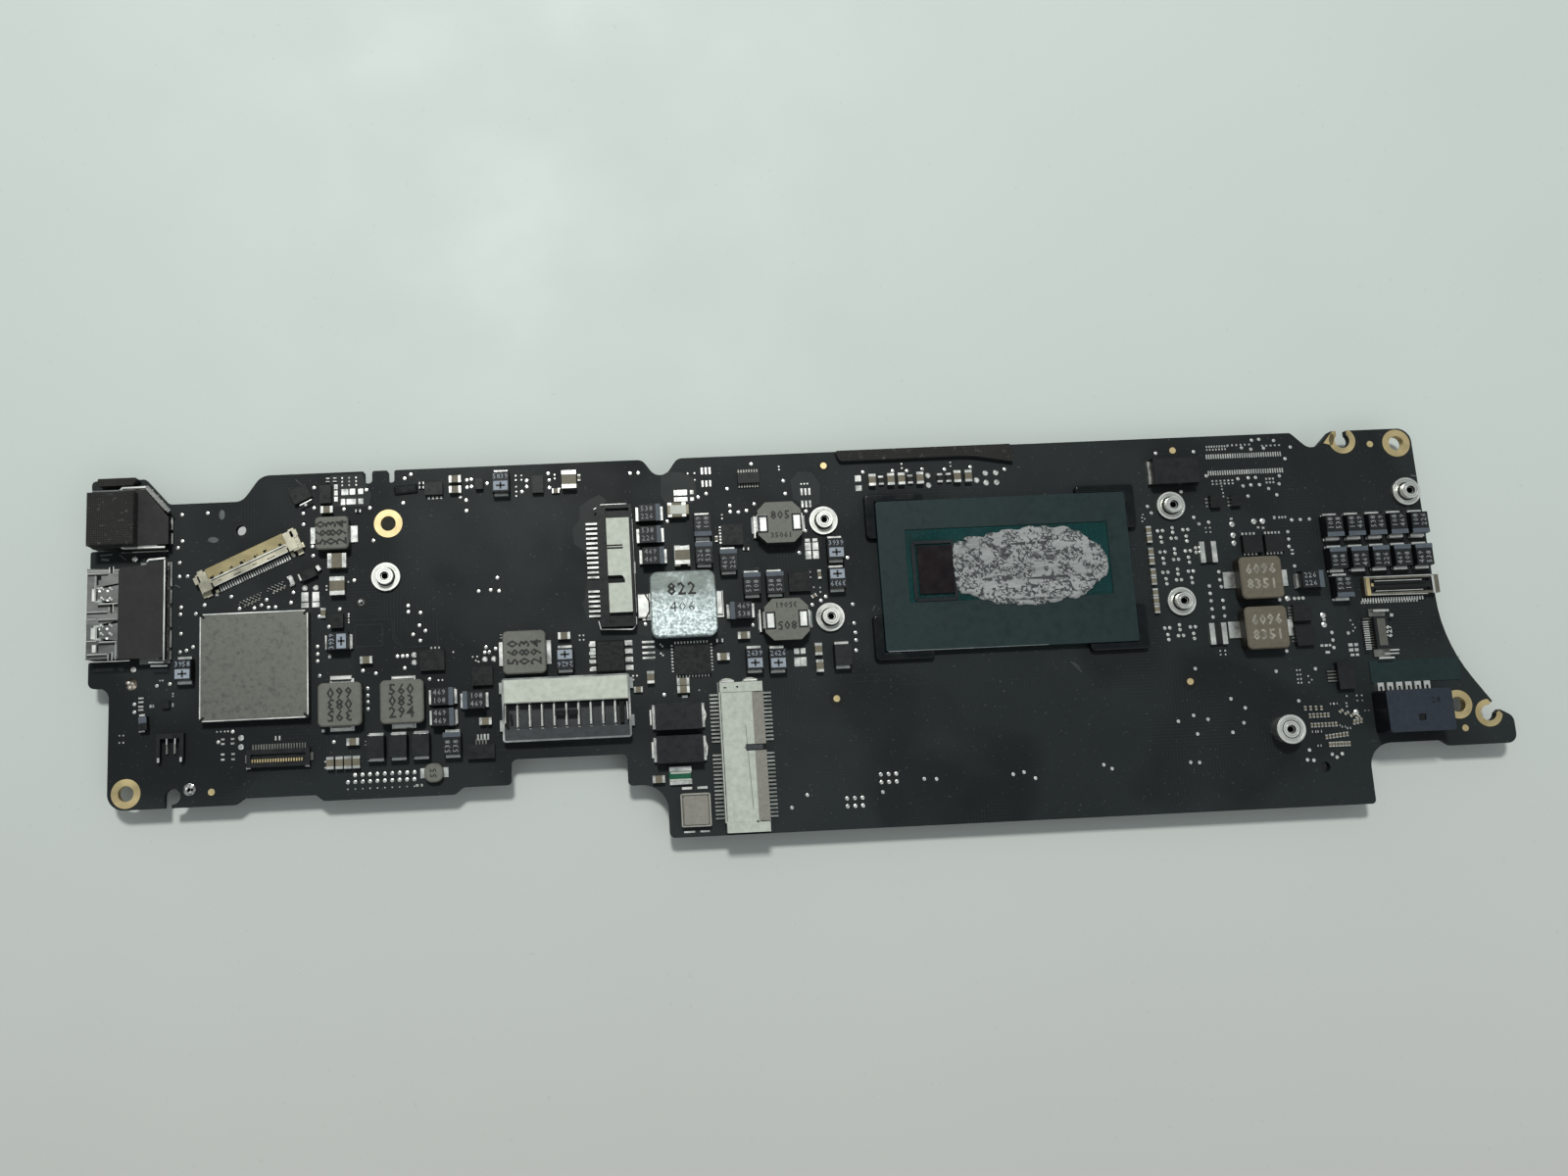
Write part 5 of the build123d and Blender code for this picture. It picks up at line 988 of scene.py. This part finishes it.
def socket_trim():
    """Battery socket outline, card socket loops, drive socket slots and other small trims."""
    line = Piece("socket_wires", TIN_AND_HIGHLIGHT, "tinned_steel")
    dark = Piece("socket_gaps", GAP_AND_SHADE, "socket_plastic")
    # battery socket: folded wire outline with clips, dark lip and blade rails
    bars(line, 2.3, 0.2, """58.2 14.75 60.4 14.8 .22  58.2 14.7 58.25 13.6 .2  74.9 14.8 77.0 14.7 .25
        77.05 14.6 77.1 13.4 .22  57.8 13.4 57.85 11.8 .25  77.5 13.2 77.6 11.6 .25
        58.25 11.0 58.2 8.0 .16
        77.15 10.6 77.2 7.8 .18  57.9 7.9 57.95 6.6 .3  77.6 7.9 77.5 6.5 .35  58.0 6.5 58.6 5.25 .2
        77.3 6.4 76.9 5.3 .2  58.6 5.2 77.0 5.25 .2""", 0.05)
    bars(dark, 2.45, 0.02, "58.5 10.85 76.9 10.85 .2  58.6 5.5 76.9 5.5 .12  60.6 5.1 74.6 5.05 .06")
    bars(dark, 2.4, 0.04, """65.9 9.3 69.6 9.3 .75  59.1 9.4 59.1 8.2 .4
        76.3 10.6 76.3 7.4 .7  58.5 10.6 58.5 7.4 .3""")
    for i in range(9):
        x = 60.1 + 1.9 * i
        bars(line, 2.55, 0.2, f"{x} 10.8 {x} 7.4 .16", 0.04)
        bars(dark, 2.5, 0.06, f"""{x + 0.18} 10.8 {x + 0.18} 7.4 .1
            {x - 0.2} 7.25 {x + 0.3} 7.25 .2""")
    # drive socket: seams, the lid that covers the solid's key slot, the slot where the photo
    # shows it, dots on the end bars and the solder round it (its bevel is in chip_trim)
    bars(dark, 3.32, 0.02, "91.75 11.1 91.75 -8.5 .1  95.4 6.0 95.9 -6.9 .05")
    trim("drive_lid", COVER, "tinned_steel", (3.19, 0.04, "94.3 1.95 96.75 1.95 1.1"))
    bars(dark, 3.3, 0.02, "95.3 2.63 98.45 2.63 .95")
    trim("drive_key_floor", SOCKET_GREY, "socket_plastic", (3.32, 0.015, "95.25 2.63 97.9 2.63 .7"))
    bars(dark, 3.34, 0.02, """92.3 12.0 92.75 12.0 .18  94.3 12.05 94.6 12.05 .25
        96.3 -8.7 96.6 -8.7 .25""")
    bars(line, 1.4, 0.5, """91.9 12.95 94.0 12.95 .4  95.4 13.0 97.6 13.0 .4
        91.4 11.2 91.4 12.8 .2  92.0 -10.1 98.0 -10.1 .14""", 0.1)
    # card socket: silver loops round both ends, two slots in its cover and lines beside it
    bars(line, 1.9, 0.3, """73.2 41.2 74.4 41.9 .2  74.4 41.9 78.4 41.9 .2
        78.4 41.9 79.1 41.2 .2  79.1 41.2 79.15 39.6 .2
        73.3 23.3 73.6 22.0 .2  73.6 22.0 78.6 21.8 .2  78.6 21.8 79.2 22.6 .2
        79.2 22.6 79.2 23.8 .2""", 0.05)
    bars(dark, 3.0, 0.02, "75.1 34.9 77.6 34.9 .28  75.1 29.6 77.7 29.6 .62")
    bars(line, 2.2, 0.25, """74.05 41.6 74.05 40.2 .14  74.1 40.2 74.1 24.0 .09
        73.9 23.6 73.9 22.4 .16  79.25 39.4 79.3 24.4 .1""", 0.04)
    # fan socket: a dark hole and a number
    bars(dark, 4.6, 0.02, "201.35 2.4 202.3 2.4 1.05")
    number(dark, "28", 201.9, 4.9, 0.95, 4.6, 0, 0.0)
    # ribbon sockets on the left: side clips
    bars(line, 1.5, 0.15, "18.3 3.0 19.0 3.05 .3  27.3 3.05 28.0 3.0 .3", 0.04)
    bars(line, 1.9, 0.1, """4.85 5.2 4.85 4.5 .35  8.3 5.2 8.3 4.5 .35
        6.1 8.1 6.1 7.2 .2  7.4 8.1 7.4 7.2 .2""", 0.04)
    # the ribbon socket on the right, its contacts and its label
    bars(line, 1.9, 0.06, """196.4 19.45 198.9 19.45 .35  199.0 18.7 199.5 18.6 .5
        197.3 12.55 199.6 12.55 .22  198.2 13.1 199.7 13.1 .25  196.3 11.9 198.8 11.9 .3""", 0.04)
    for i in range(13):
        y = round(13.4 + 0.36 * i, 2)
        bars(line, 1.9, 0.05, f"194.4 {y} 195.3 {y} .14")
    dull = moulded("dull_label", (0.1, 0.095, 0.085), 0.45, 0.2)
    trim("hinge_socket_label", dull, "grey_moulding", (1.92, 0.03, "197.4 18.2 197.4 13.9 1.3", 0.02))
    number(line, "629", 197.9, 16.0, 0.8, 1.95, 90, 0.03)
    # side-board socket: rim lines, contacts and the rows inside
    bars(line, 2.02, 0.04, """195.6 24.9 206.9 24.85 .14  197.2 24.2 204.9 24.15 .12
        197.2 22.6 204.9 22.55 .12  206.7 24.9 206.7 21.9 .35  195.9 22.0 205.6 21.85 .12""", 0.02)
    for i in range(24):
        x = round(194.9 + 0.42 * i, 2)
        bars(line, 1.2, 0.1, f"{x} 21.5 {x} 20.95 .2")
    bars(dark, 2.01, 0.02, "197.3 23.8 205.6 23.8 .35  197.3 22.95 205.6 22.95 .35")
    for piece in (line, dark):
        piece.build()
    # gilt contacts of the left ribbon socket and the gilt end of the side-board socket
    gold = Piece("side_board_gilt", GOLD, "pale_gold")
    for i in range(20):
        x = round(19.2 + 0.4 * i, 2)
        bars(gold, 1.92, 0.03, f"{x} 3.8 {x} 4.3 .18")
    bars(gold, 2.02, 0.05, "196.15 24.8 196.15 21.9 .6  196.6 23.6 197.0 23.6 .5", 0.02)
    gold.build()


def hardware():
    """Painted highlight rings and painted shade in the grooves and bores of the standoffs, gilt
    barrels in the holes and dark rings in the mask.
    """
    ring = Piece("standoff_ring_highlights", TIN_AND_HIGHLIGHT, "nickel")
    dark = Piece("standoff_bores_and_shade", GAP_AND_SHADE, "nickel")
    low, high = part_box("heat_sink_standoffs")
    xs = (low.x / MM + 2.25, high.x / MM - 2.25)
    ys = (low.y / MM + 2.25, high.y / MM - 2.25)
    standoffs = [(x, y, 2.5) for x in xs for y in ys]
    standoffs += [(40.15, 31.8, 2.5), (204.2, 38.5, 2.5), (179.6, 1.45, 3.3)]
    # painted highlights on the edges of boss, bore and flange; painted shade in the groove at the
    # boss's foot and down the bore
    for x, y, z in standoffs:
        ring.annulus(x, y, 1.28, 1.12, 0.02, z)
        ring.annulus(x, y, 0.86, 0.7, 0.02, z)
        if z < 3:
            ring.annulus(x, y, 2.22, 2.02, 0.02, 1.5)
            dark.annulus(x, y, 1.5, 1.31, 0.02, 1.5)
        else:
            ring.annulus(x, y, 2.2, 1.9, 0.02, z)
            dark.annulus(x, y, 1.42, 1.3, 0.015, z)
        dark.annulus(x, y, 0.699, 0.6, z - 1.15, 1.05, 24)
        ring.annulus(x, y, 0.6, 0.5, 0.05, z - 0.35, 24)
    ring.build()
    dark.build()
    barrels = Piece("hole_barrels", GOLD, "gold_plating")
    for x, y in ((0, 0), (40.6, 40.4), (203.9, 46.6), (207.8, 4.1)):
        barrels.annulus(x, y, 1.3, 1.2, 1.04, 0.0, 40)
    barrels.build()
    rings = Piece("mask_rings", moulded("bare_mask", (0.0035, 0.0045, 0.005), 0.6), "board")
    for x, y, outer, inner in numbers("""
        17.4 40.3 1.5 1.36  109.9 9.5 1.2 0.53  165.8 9.6 1.2 0.53
        110.4 46.84 1.0 0.53  36.1 28.0 1.05 0.61  167.2 46.94 1.0 0.53
    """, 4):
        rings.annulus(x, y, outer, inner, 0.012)
    rings.build()


def dirt_and_tracks():
    """Solder blobs with painted highlights and painted shade, glue, scratches and the faint copper
    that shows under the mask.
    """
    rough = metal("rough_solder", (0.42, 0.42, 0.41), 0.16, 0.6, grain=900.0, depth=0.5)
    blob = Piece("solder_blobs", rough, "solder")
    for x, y, r in ((9.7, 0.2, 0.95), (36.1, 28.0, 0.6)):
        blob.disc(x, y, r, 0.12, sides=18, dome=0.25)
    blob.build()
    coppery = metal("coppery_solder", (0.42, 0.33, 0.27), 0.16, 0.7, grain=1000.0, depth=0.5)
    copper = Piece("copper_blob", coppery, "solder")
    copper.disc(0.6, 16.7, 0.92, 0.08, sides=20, dome=0.3)
    copper.build()
    # painted highlights and painted shade: bright and dark discs on the solder and copper blobs
    painted_glints = Piece("blob_highlights", TIN_AND_HIGHLIGHT, "solder")
    holes = Piece("blob_shadows", GAP_AND_SHADE, "solder")
    for x, y, r in numbers("""
        0.25 16.95 0.22  0.95 16.8 0.16  0.5 16.2 0.2  1.1 16.3 0.14  9.3 0.3 0.2
        9.9 -0.2 0.16  10.1 0.6 0.2  9.6 0.75 0.13  36.0 28.1 0.2
    """, 3):
        painted_glints.disc(x, y, r, 0.03, TOP + 0.36, 8, 0.05)
    for x, y, r in numbers("""
        0.7 16.65 0.3  0.0 16.5 0.2  0.7 17.2 0.18  9.65 0.15 0.3  10.2 0.15 0.2  36.35 27.8 0.22
    """, 3):
        holes.disc(x, y, r, 0.02, TOP + 0.35, 9)
    painted_glints.build()
    holes.build()
    glue = Piece("glue_blobs", RESIN, "black_resin")
    glue.box(43.5, 45.75, 3.6, 1.35, 0.45, TOP, 4, 0.2)
    glue.build()
    stain = moulded("mask_haze", (0.1, 0.108, 0.11), 0.7, 0.5, 700.0, 0.004, 500.0)
    haze = Piece("mask_stains", stain, "board")
    for x, y, a, b, turn in ((14.4, 42.95, 0.8, 0.45, 90), (13.05, 38.95, 0.85, 0.45, -5)):
        angles = [t * math.pi / 9 for t in range(18)]
        corners = turned([(a * math.cos(t), b * math.sin(t)) for t in angles], x, y, turn)
        haze.stack([(corners, TOP), (corners, TOP + 0.015)])
    haze.build()
    film = moulded("flux_haze", (0.0115, 0.016, 0.0165), 0.5, 0.25, 300.0, 0.004, 300.0)
    flux = Piece("flux_haze", film, "board")
    for text in (
        """71.9 31.2 72.4 33.0 71.5 34.6 69.9 35.8 69.7 38.2 70.9 39.8 71.0 41.8 72.6 42.9
        74.2 43.6 75.4 42.6 73.8 41.0 73.7 24.0 71.5 23.6 70.9 26.0 71.6 28.6""",
        "84.2 46.3 84.0 43.2 84.6 41.8 88.9 41.6 89.8 43.0 89.5 45.6 87.6 46.7 85.4 46.9",
        "104.9 44.6 105.2 41.6 107.4 40.0 109.4 40.6 109.6 43.9 108.5 45.8 106.2 46.0",
        "31.5 48.6 31.9 43.5 37.6 43.4 38.0 45.2 36.5 48.7",
        "78.9 25.0 78.7 21.3 82.4 19.9 92.0 19.6 93.2 22.0 92.6 24.0",
    ):
        patch(flux, 1.004, 0.006, text)
    flux.build()
    pale = Piece("scratches", moulded("scratch_mark", (0.16, 0.17, 0.17), 0.6, 0.3), "board")
    bars(pale, TOP, 0.012, """147.2 13.6 148.8 11.9 .05  147.6 13.5 148.6 12.6 .04
        116.6 23.1 117.0 23.9 .06
        -4.4 36.6 -3.2 36.4 .35  -4.6 37.2 -2.7 37.3 .2  -1.6 37.2 -0.5 36.3 .12
        7.2 32.0 7.9 31.6 .12
        26 48.2 26.9 47.3 .05  205.6 41.2 206.4 41.0 .15""")
    pale.disc(0.85, 36.35, 0.42, 0.06, sides=14, dome=0.06)
    pale.build()
    raised = moulded("raised_mask", (0.017, 0.021, 0.0215), 0.5, 0.2)
    trim("faint_tracks", raised, "board", (TOP, 0.012, """35.2 24.4 39.4 24.4 .08
        39.4 24.4 39.4 21.0 .08  39.4 21.0 35.2 21.0 .08  35.2 21.0 35.2 24.4 .08
        41.0 25.0 41.0 22.0 .06  41.0 22.0 42.5 20.5 .06  41.3 25.0 41.3 22.2 .06
        41.3 22.2 42.8 20.7 .06
        48.0 24.6 48.0 19.8 .06  43.0 20.6 48.0 20.6 .06  34.6 25.2 40.5 25.2 .05
        28.7 20.0 34.0 20.0 .05
        24.8 46.8 26.2 43.6 .07  24.8 46.8 28.6 44.8 .07  194.2 11.6 209.2 11.6 .07
        194.2 11.6 194.2 8.2 .07
        194.2 8.2 208.8 8.2 .07  60.0 4.0 56.5 4.0 .06  10.5 9.6 12.5 8.4 .05  11.4 9.6 13.0 8.6 .05
        25.5 9.6 29.0 7.2 .05  26.3 9.6 29.8 7.2 .05  27.1 9.6 30.6 7.2 .05  112 12 118 12 .05
        112 13 118 13 .05
        120 11.2 146 11.2 .05  69.5 30.2 73.2 30.2 .05  150 9 158 9 .06  150 8.6 158 8.6 .06"""))


def chip_trim():
    """Ends of the tilted chips, array and tan terminals, lid borders, resin bead and painted gleams
    on the film.
    """
    trim("chip_gleams", TIN_AND_HIGHLIGHT, "tinned_steel", (
        1.9, 0.1, "26.65 43.9 28.6 44.85 .22", 0.05,
    ), (
        1.3, 0.35, "26.5 32.9 26.95 31.8 .5  29.3 34.1 29.8 33.3 .7  25.15 32.5 25.6 31.2 .75", 0.1,
    ), (
        1.0, 0.1, """83.3 0.0 85.2 0.0 .3  85.7 0.0 86.5 0.0 .2  83.2 -2.4 85.3 -2.4 .4
        85.0 -3.2 86.6 -3.2 .42  87.4 -3.2 89.0 -3.2 .42  85.0 -9.8 86.7 -9.8 .3
        87.5 -9.8 89.0 -9.8 .3""", 0.04,
    ))
    green = moulded("green_array", (0.012, 0.11, 0.06), 0.35, 0.3)
    trim("green_array", green, "package_green", (1.6, 0.05, "83.15 -1.2 86.55 -1.2 1.3"))
    pale = moulded("array_ends", (0.55, 0.56, 0.5), 0.4, 0.3, 2500.0)
    trim("array_terminals", pale, "solder", (
        1.66, 0.04, "83.4 -0.78 86.5 -0.78 .28  83.2 -1.85 86.5 -1.85 .26",
    ), (
        1.0, 1.3, "85.1 40.4 88.0 40.4 1.5", 0.1,
    ), (
        1.0, 1.0, "86.1 34.7 86.1 31.4 .9  87.9 34.7 87.9 31.4 .4  86.5 33.0 87.6 33.0 1.2", 0.05,
    ))
    tan = moulded("tan_ends", (0.34, 0.3, 0.22), 0.4, 0.3)
    trim("tan_terminals", tan, "tan_ceramic", (
        1.0, 1.34, "84.9 40.4 85.4 40.4 1.56  87.8 40.4 88.3 40.4 1.56", 0.1,
    ))
    border = moulded("lid_border", (0.36, 0.345, 0.31), 0.4, 0.1)
    groove = moulded("lid_groove", (0.08, 0.075, 0.07), 0.5, 0.1)
    for name, material, inset, width in (
        ("crystal_border", border, 0.12, 0.2), ("crystal_groove", groove, 0.32, 0.07),
    ):
        piece = Piece(name, material, "tinned_steel")
        sides = (84.7 + inset, 89.35 - inset, -9.1 + inset, -4.0 - inset)
        four_sides(piece, 1.9, 0.03, *sides, width)
        piece.build()
    slope = moulded("drive_bevel", (0.25, 0.235, 0.21), 0.4, 0.06)
    trim("drive_bevel", slope, "tinned_steel", (3.2, 0.06, "97.55 11.1 97.55 -8.6 1.75", 0.02))
    clear = moulded("clear_resin", (0.03, 0.032, 0.036), 0.12, 0.3, 300.0, 0.02)
    bead = Piece("die_bead", clear, "black_resin")
    four_sides(bead, 2.15, 0.16, 124.3 - 0.6, 129.5 + 0.6, 25.0 - 0.6, 33.0 + 0.6, 0.55, 0.07)
    bead.build()
    # painted highlights along the film's front edge, the resin bead's corner and the corner bonds
    edge = moulded("film_edge_highlight", (0.26, 0.28, 0.28), 0.4, 0.4, 200.0)
    trim("film_gleams", edge, "black_film", (
        2.15, 0.02, """118.6 16.45 132 16.45 .11  132 16.45 144 16.45 .06
        123.9 24.35 129.6 24.35 .06  123.5 25.1 123.8 24.5 .1""",
    ), (
        1.7, 0.1, "150.9 15.25 157.4 15.25 .12  116.9 17.5 117.0 19.5 .1  117.6 40.9 119.5 41.1 .1",
    ))


# ---------------------------------------------------------------- thermal paste
# The smear's edge as the photo shows it at height 2.5, as x y, x y and so on.
SMEAR_EDGE = """
    130.1 33.0  131 33.7  132 34.0  132.7 33.5  135.5 34.4  138 35.0  141 35.2  143.7 35.5
    146.5 35.3  149.5 35.0  151 34.2  152.5 33.0  154 31.8  155 30  155 28.5  154.6 27.4
    153.3 26.4  152.2 25.5  151 24.4  149.8 23.9  147 23.5  144 23.0  141.5 22.9
    139 23.1  136 23.5  133.7 24.3  132.6 25.0  131 25.3  130.2 26.3  129.9 29.5
"""
SMEAR_MIDDLE = Vector((142.0, 29.1))
AROUND, OUT = 640, 104  # points round each ring, and rings from the middle out
DIE_TOP = TOP + 1.0
# x from, x to, y, depth of the dark gaps along the edges of the big die
WEDGES = numbers("""
    133.9 135.5 27.0 1  137.0 138.6 27.0 1  141.0 144.6 26.9 0.9  145.0 147.6 27.0 1
    150.5 151.6 27.0 1  138.9 141.3 32.5 1  141.9 142.8 32.5 0.8  143.2 144.7 32.5 1
    135.7 136.2 32.4 1  147.5 149.0 32.6 0.5  148.3 149.6 27.1 0.6  139.3 140.3 27.1 0.5
""", 4)


def waver(x, y, z):
    """Smooth noise between about -1 and 1."""
    return noise.noise(Vector((x, y, z)))


def clamped(value):
    return max(0.0, min(1.0, value))


def fading(distance, reach, power):
    """The exponent's share for something that fades out at reach."""
    return (distance / reach) ** power


def smear_radius(polar, angle):
    """Distance from the smear's middle to its smoothed edge at an angle."""
    wrapped = polar[-1:] + polar + polar[:1]
    for (a0, r0), (a1, r1) in zip(wrapped, wrapped[1:]):
        a0 = a0 - 2 * math.pi if a0 > a1 and angle <= a1 else a0
        a1 = a1 + 2 * math.pi if a1 < a0 else a1
        if a0 <= angle <= a1:
            t = (angle - a0) / (a1 - a0)
            t = t * t * (3 - 2 * t)
            return r0 + (r1 - r0) * t
    return polar[0][1]


def crack(x, y):
    """1 in the middle of an open crack, 0 where the paste is whole."""
    wiggle = Vector((waver(x * 1.7, y * 1.7, 3), waver(x * 1.6, y * 1.6, 9), 0))
    at = Vector((x * 1.55 + y * 0.5, y * 1.5, 0)) + 0.75 * wiggle
    near = noise.voronoi(at, distance_metric="DISTANCE", exponent=2.5)[0]
    gap = near[1] - near[0]
    open_here = waver(x * 0.5 + 20, y * 0.7, 1) + 0.5 * waver(x * 2, y * 2, 3)
    left = 1.25 if x < 138.5 and 26.3 < y < 32 else 0.85
    return clamped(1.5 - gap / 0.13) * clamped((open_here + 0.26) * 4) * left


def wedge(x, y):
    """1 in the middle of a dark gap along the die's long edges."""
    deepest = 0.0
    for low, high, level, deep in WEDGES:
        if low < x < high:
            point = (x - low) / (high - low)
            deepest = max(deepest, deep * math.exp(-fading(y - level, 0.1 + 0.2 * point, 2)))
    return deepest


def darkness(x, y):
    """0 where the paste is whole and pale, 1 where it is open, smudged or wiped thin."""
    smudge = 0.6 * math.exp(-(fading(x - 138.0, 1.0, 4) + fading(y - 31.4, 1.3, 4)))
    front = 0.7 * math.exp(-(fading(x - 142.5, 4.2, 6) + fading(y - 23.6, 0.28, 2)))
    smudge = max(smudge, front)
    wipe = 0.45 * math.exp(-(fading(x - 144.5, 3.5, 4) + fading(y - 30.3, 1.1, 4)))
    wipe *= max(0.0, 0.4 + 1.6 * waver(x * 0.7, y * 4.2, 7))
    opened = max(crack(x, y), wedge(x, y))
    return min(1.0, opened + smudge * (0.7 + waver(x, y * 2, 7)) + wipe)


def paste():
    """Dried paste with real cracks, drawn as a fan of rings out to its ragged edge."""
    polar = []
    for x, y in numbers(SMEAR_EDGE, 2):
        arm = Vector(seen(x, y, 2.5)) - SMEAR_MIDDLE
        polar.append((math.atan2(arm.y, arm.x) % (2 * math.pi), arm.length))
    polar.sort()

    points, faces, cracks = [], [], []
    for k in range(OUT + 1):
        share = (k / OUT) ** 0.8
        for i in range(AROUND):
            angle = 2 * math.pi * i / AROUND
            turn = Vector((3.1 * math.cos(angle), 3.1 * math.sin(angle), 0.4)) * 2.2
            r = (smear_radius(polar, angle) + 0.22 * noise.noise(turn)) * share
            x = SMEAR_MIDDLE.x + r * math.cos(angle)
            y = SMEAR_MIDDLE.y + r * math.sin(angle)
            mark = darkness(x, y)
            lumps = 0.03 * noise.noise(Vector((x, y, 5)) * 4)
            body = 0.52 + 0.05 * waver(x * 0.9, y * 2.6, 0) + lumps
            rim = min(1.0, (1 - share) * 14)
            level = DIE_TOP + 0.16 + (body - 0.16) * rim ** 0.5 - 0.09 * mark
            if k == OUT:
                level = DIE_TOP + 0.01
            points.append((x * MM, y * MM, level * MM))
            cracks.append(mark)
    for k in range(OUT):
        for i in range(AROUND):
            j = (i + 1) % AROUND
            near, far = k * AROUND, (k + 1) * AROUND
            faces.append([near + i, far + i, far + j, near + j])
    mesh = bpy.data.meshes.new("paste_smear")
    mesh.from_pydata(points, [], faces)
    layer = mesh.color_attributes.new("crack", "FLOAT_COLOR", "POINT")
    for value, mark in zip(layer.data, cracks):
        value.color = (mark, mark, mark, 1)
    for face in mesh.polygons:
        face.use_smooth = True
    mesh.materials.append(dried_paste())
    piece = placed("paste_smear", mesh)
    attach(piece, "root")
    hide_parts("thermal_paste")


# ---------------------------------------------------------------- stage
def stage():
    """The pale table top, with painted light: lighter and a little greener towards the back, where
    the key lamp stands.
    """
    z, reach = cad_box[0].z, 3.0
    mesh = bpy.data.meshes.new("floor")
    corners = [(-reach, -reach, z), (reach, -reach, z), (reach, reach, z), (-reach, reach, z)]
    mesh.from_pydata(corners, [], [(0, 1, 2, 3)])
    n = Nodes("floor_paint")
    # painted light: the floor colour brightens and turns greener towards the back, under the key lamp
    back = n.spread(n.axes()["Y"], 0.0, 1.0, -0.07, 0.06)
    cloud = n.ramp(n.noise(6.0, 3.0), (0.3, (0.96, 0.96, 0.96)), (0.7, (1.0, 1.0, 1.0)))
    dust = n.spread(n.noise(900.0, 2.0), 1.0, 0.9, 0.7, 0.8)
    base = n.mix(back, (0.51, 0.505, 0.485), (0.55, 0.595, 0.575))
    n.colour(n.mix(1.0, n.mix(1.0, base, cloud, "MULTIPLY"), dust, "MULTIPLY"))
    n.roughness(n.spread(n.noise(40.0), 0.5, 0.65))
    mesh.materials.append(n.material)
    floor = placed("floor", mesh)


def floor_glint():
    """The spot of light that falls through the locating hole, on the floor under it."""
    n = Nodes("lit_floor")
    n.colour(n.ramp(n.noise(60.0), (0.3, (0.82, 0.85, 0.84)), (0.7, (0.9, 0.93, 0.92))))
    n.shader.inputs["Emission Color"].default_value = (0.95, 0.99, 0.98, 1)
    n.shader.inputs["Emission Strength"].default_value = 0.45
    z = cad_box[0].z + 0.00001
    x, y = seen(17.4, 40.3, z / MM)
    radius, sides = 1.1, 20
    corners = []
    for i in range(sides):
        a = i * math.pi / 10
        corners.append(((x + radius * math.cos(a)) * MM, (y + radius * math.sin(a)) * MM, z))
    mesh = bpy.data.meshes.new("floor_glint")
    mesh.from_pydata(corners, [], [list(range(sides))])
    mesh.materials.append(n.material)
    glint = placed("floor_glint", mesh)


def lamp(name, place, size, power, colour):
    """An area lamp, in metres and watts, that faces the middle of the board."""
    light = bpy.data.lights.new(name, "AREA")
    light.shape = "RECTANGLE"
    light.size, light.size_y = size
    light.energy = power
    light.color = colour
    lamp_object = placed(name, light)
    target = Vector((0.1, 0.02, 0.0))
    lamp_object.location = place
    lamp_object.rotation_euler = (target - Vector(place)).to_track_quat("-Z", "Y").to_euler()


def soft_room():
    """A pale room, dimmer straight overhead, with soft bright and dark patches for the metal."""
    sky = Sky("world")
    height = sky.ramp(
        sky.spread(sky.axes()["Z"], 0.0, 1.0, -1.0, 1.0),
        (0.0, (0.4, 0.4, 0.4)), (0.5, (0.86, 0.92, 0.93)),
        (0.84, (0.9, 0.98, 0.98)), (0.985, (0.36, 0.415, 0.42)),
    )
    patches = sky.spread(sky.noise(3.2, 1.0, 0.5), 0.55, 1.35, 0.36, 0.64)
    background = sky.tree.nodes["Background"]
    sky.link(sky.mix(1.0, height, patches, "MULTIPLY"), background.inputs["Color"])
    background.inputs["Strength"].default_value = 0.5
    return sky.world


def lights_and_camera():
    """Two soft lamps, the pale room and the photo's camera."""
    lamp("key", (0.02, 0.64, 0.96), (0.17, 0.14), 9.6, (0.975, 1.0, 0.965))
    lamp("fill", (0.6, -0.5, 0.8), (0.7, 0.7), 0.9, (0.96, 0.98, 1.0))
    bpy.context.scene.world = soft_room()

    camera = bpy.data.cameras.new("camera")
    camera.sensor_width = 36.0
    camera.lens = 27.0
    camera.shift_x = 0.0906
    camera.clip_start = 0.01
    eye = placed("camera", camera)
    eye.location = Vector((EYE_X, EYE_Y, EYE_HEIGHT + TOP)) * MM
    eye.rotation_euler = Euler([math.radians(a) for a in (8.375, -0.946, -2.686)], "XYZ")
    bpy.context.scene.camera = eye
    bpy.context.scene.view_settings.view_transform = "Standard"


pads()
chip_parts()
part_marks()
ports()
display_trim()
choke_trim()
cap_ends()
shield_trim()
socket_trim()
hardware()
dirt_and_tracks()
chip_trim()
paste()
stage()
floor_glint()
lights_and_camera()
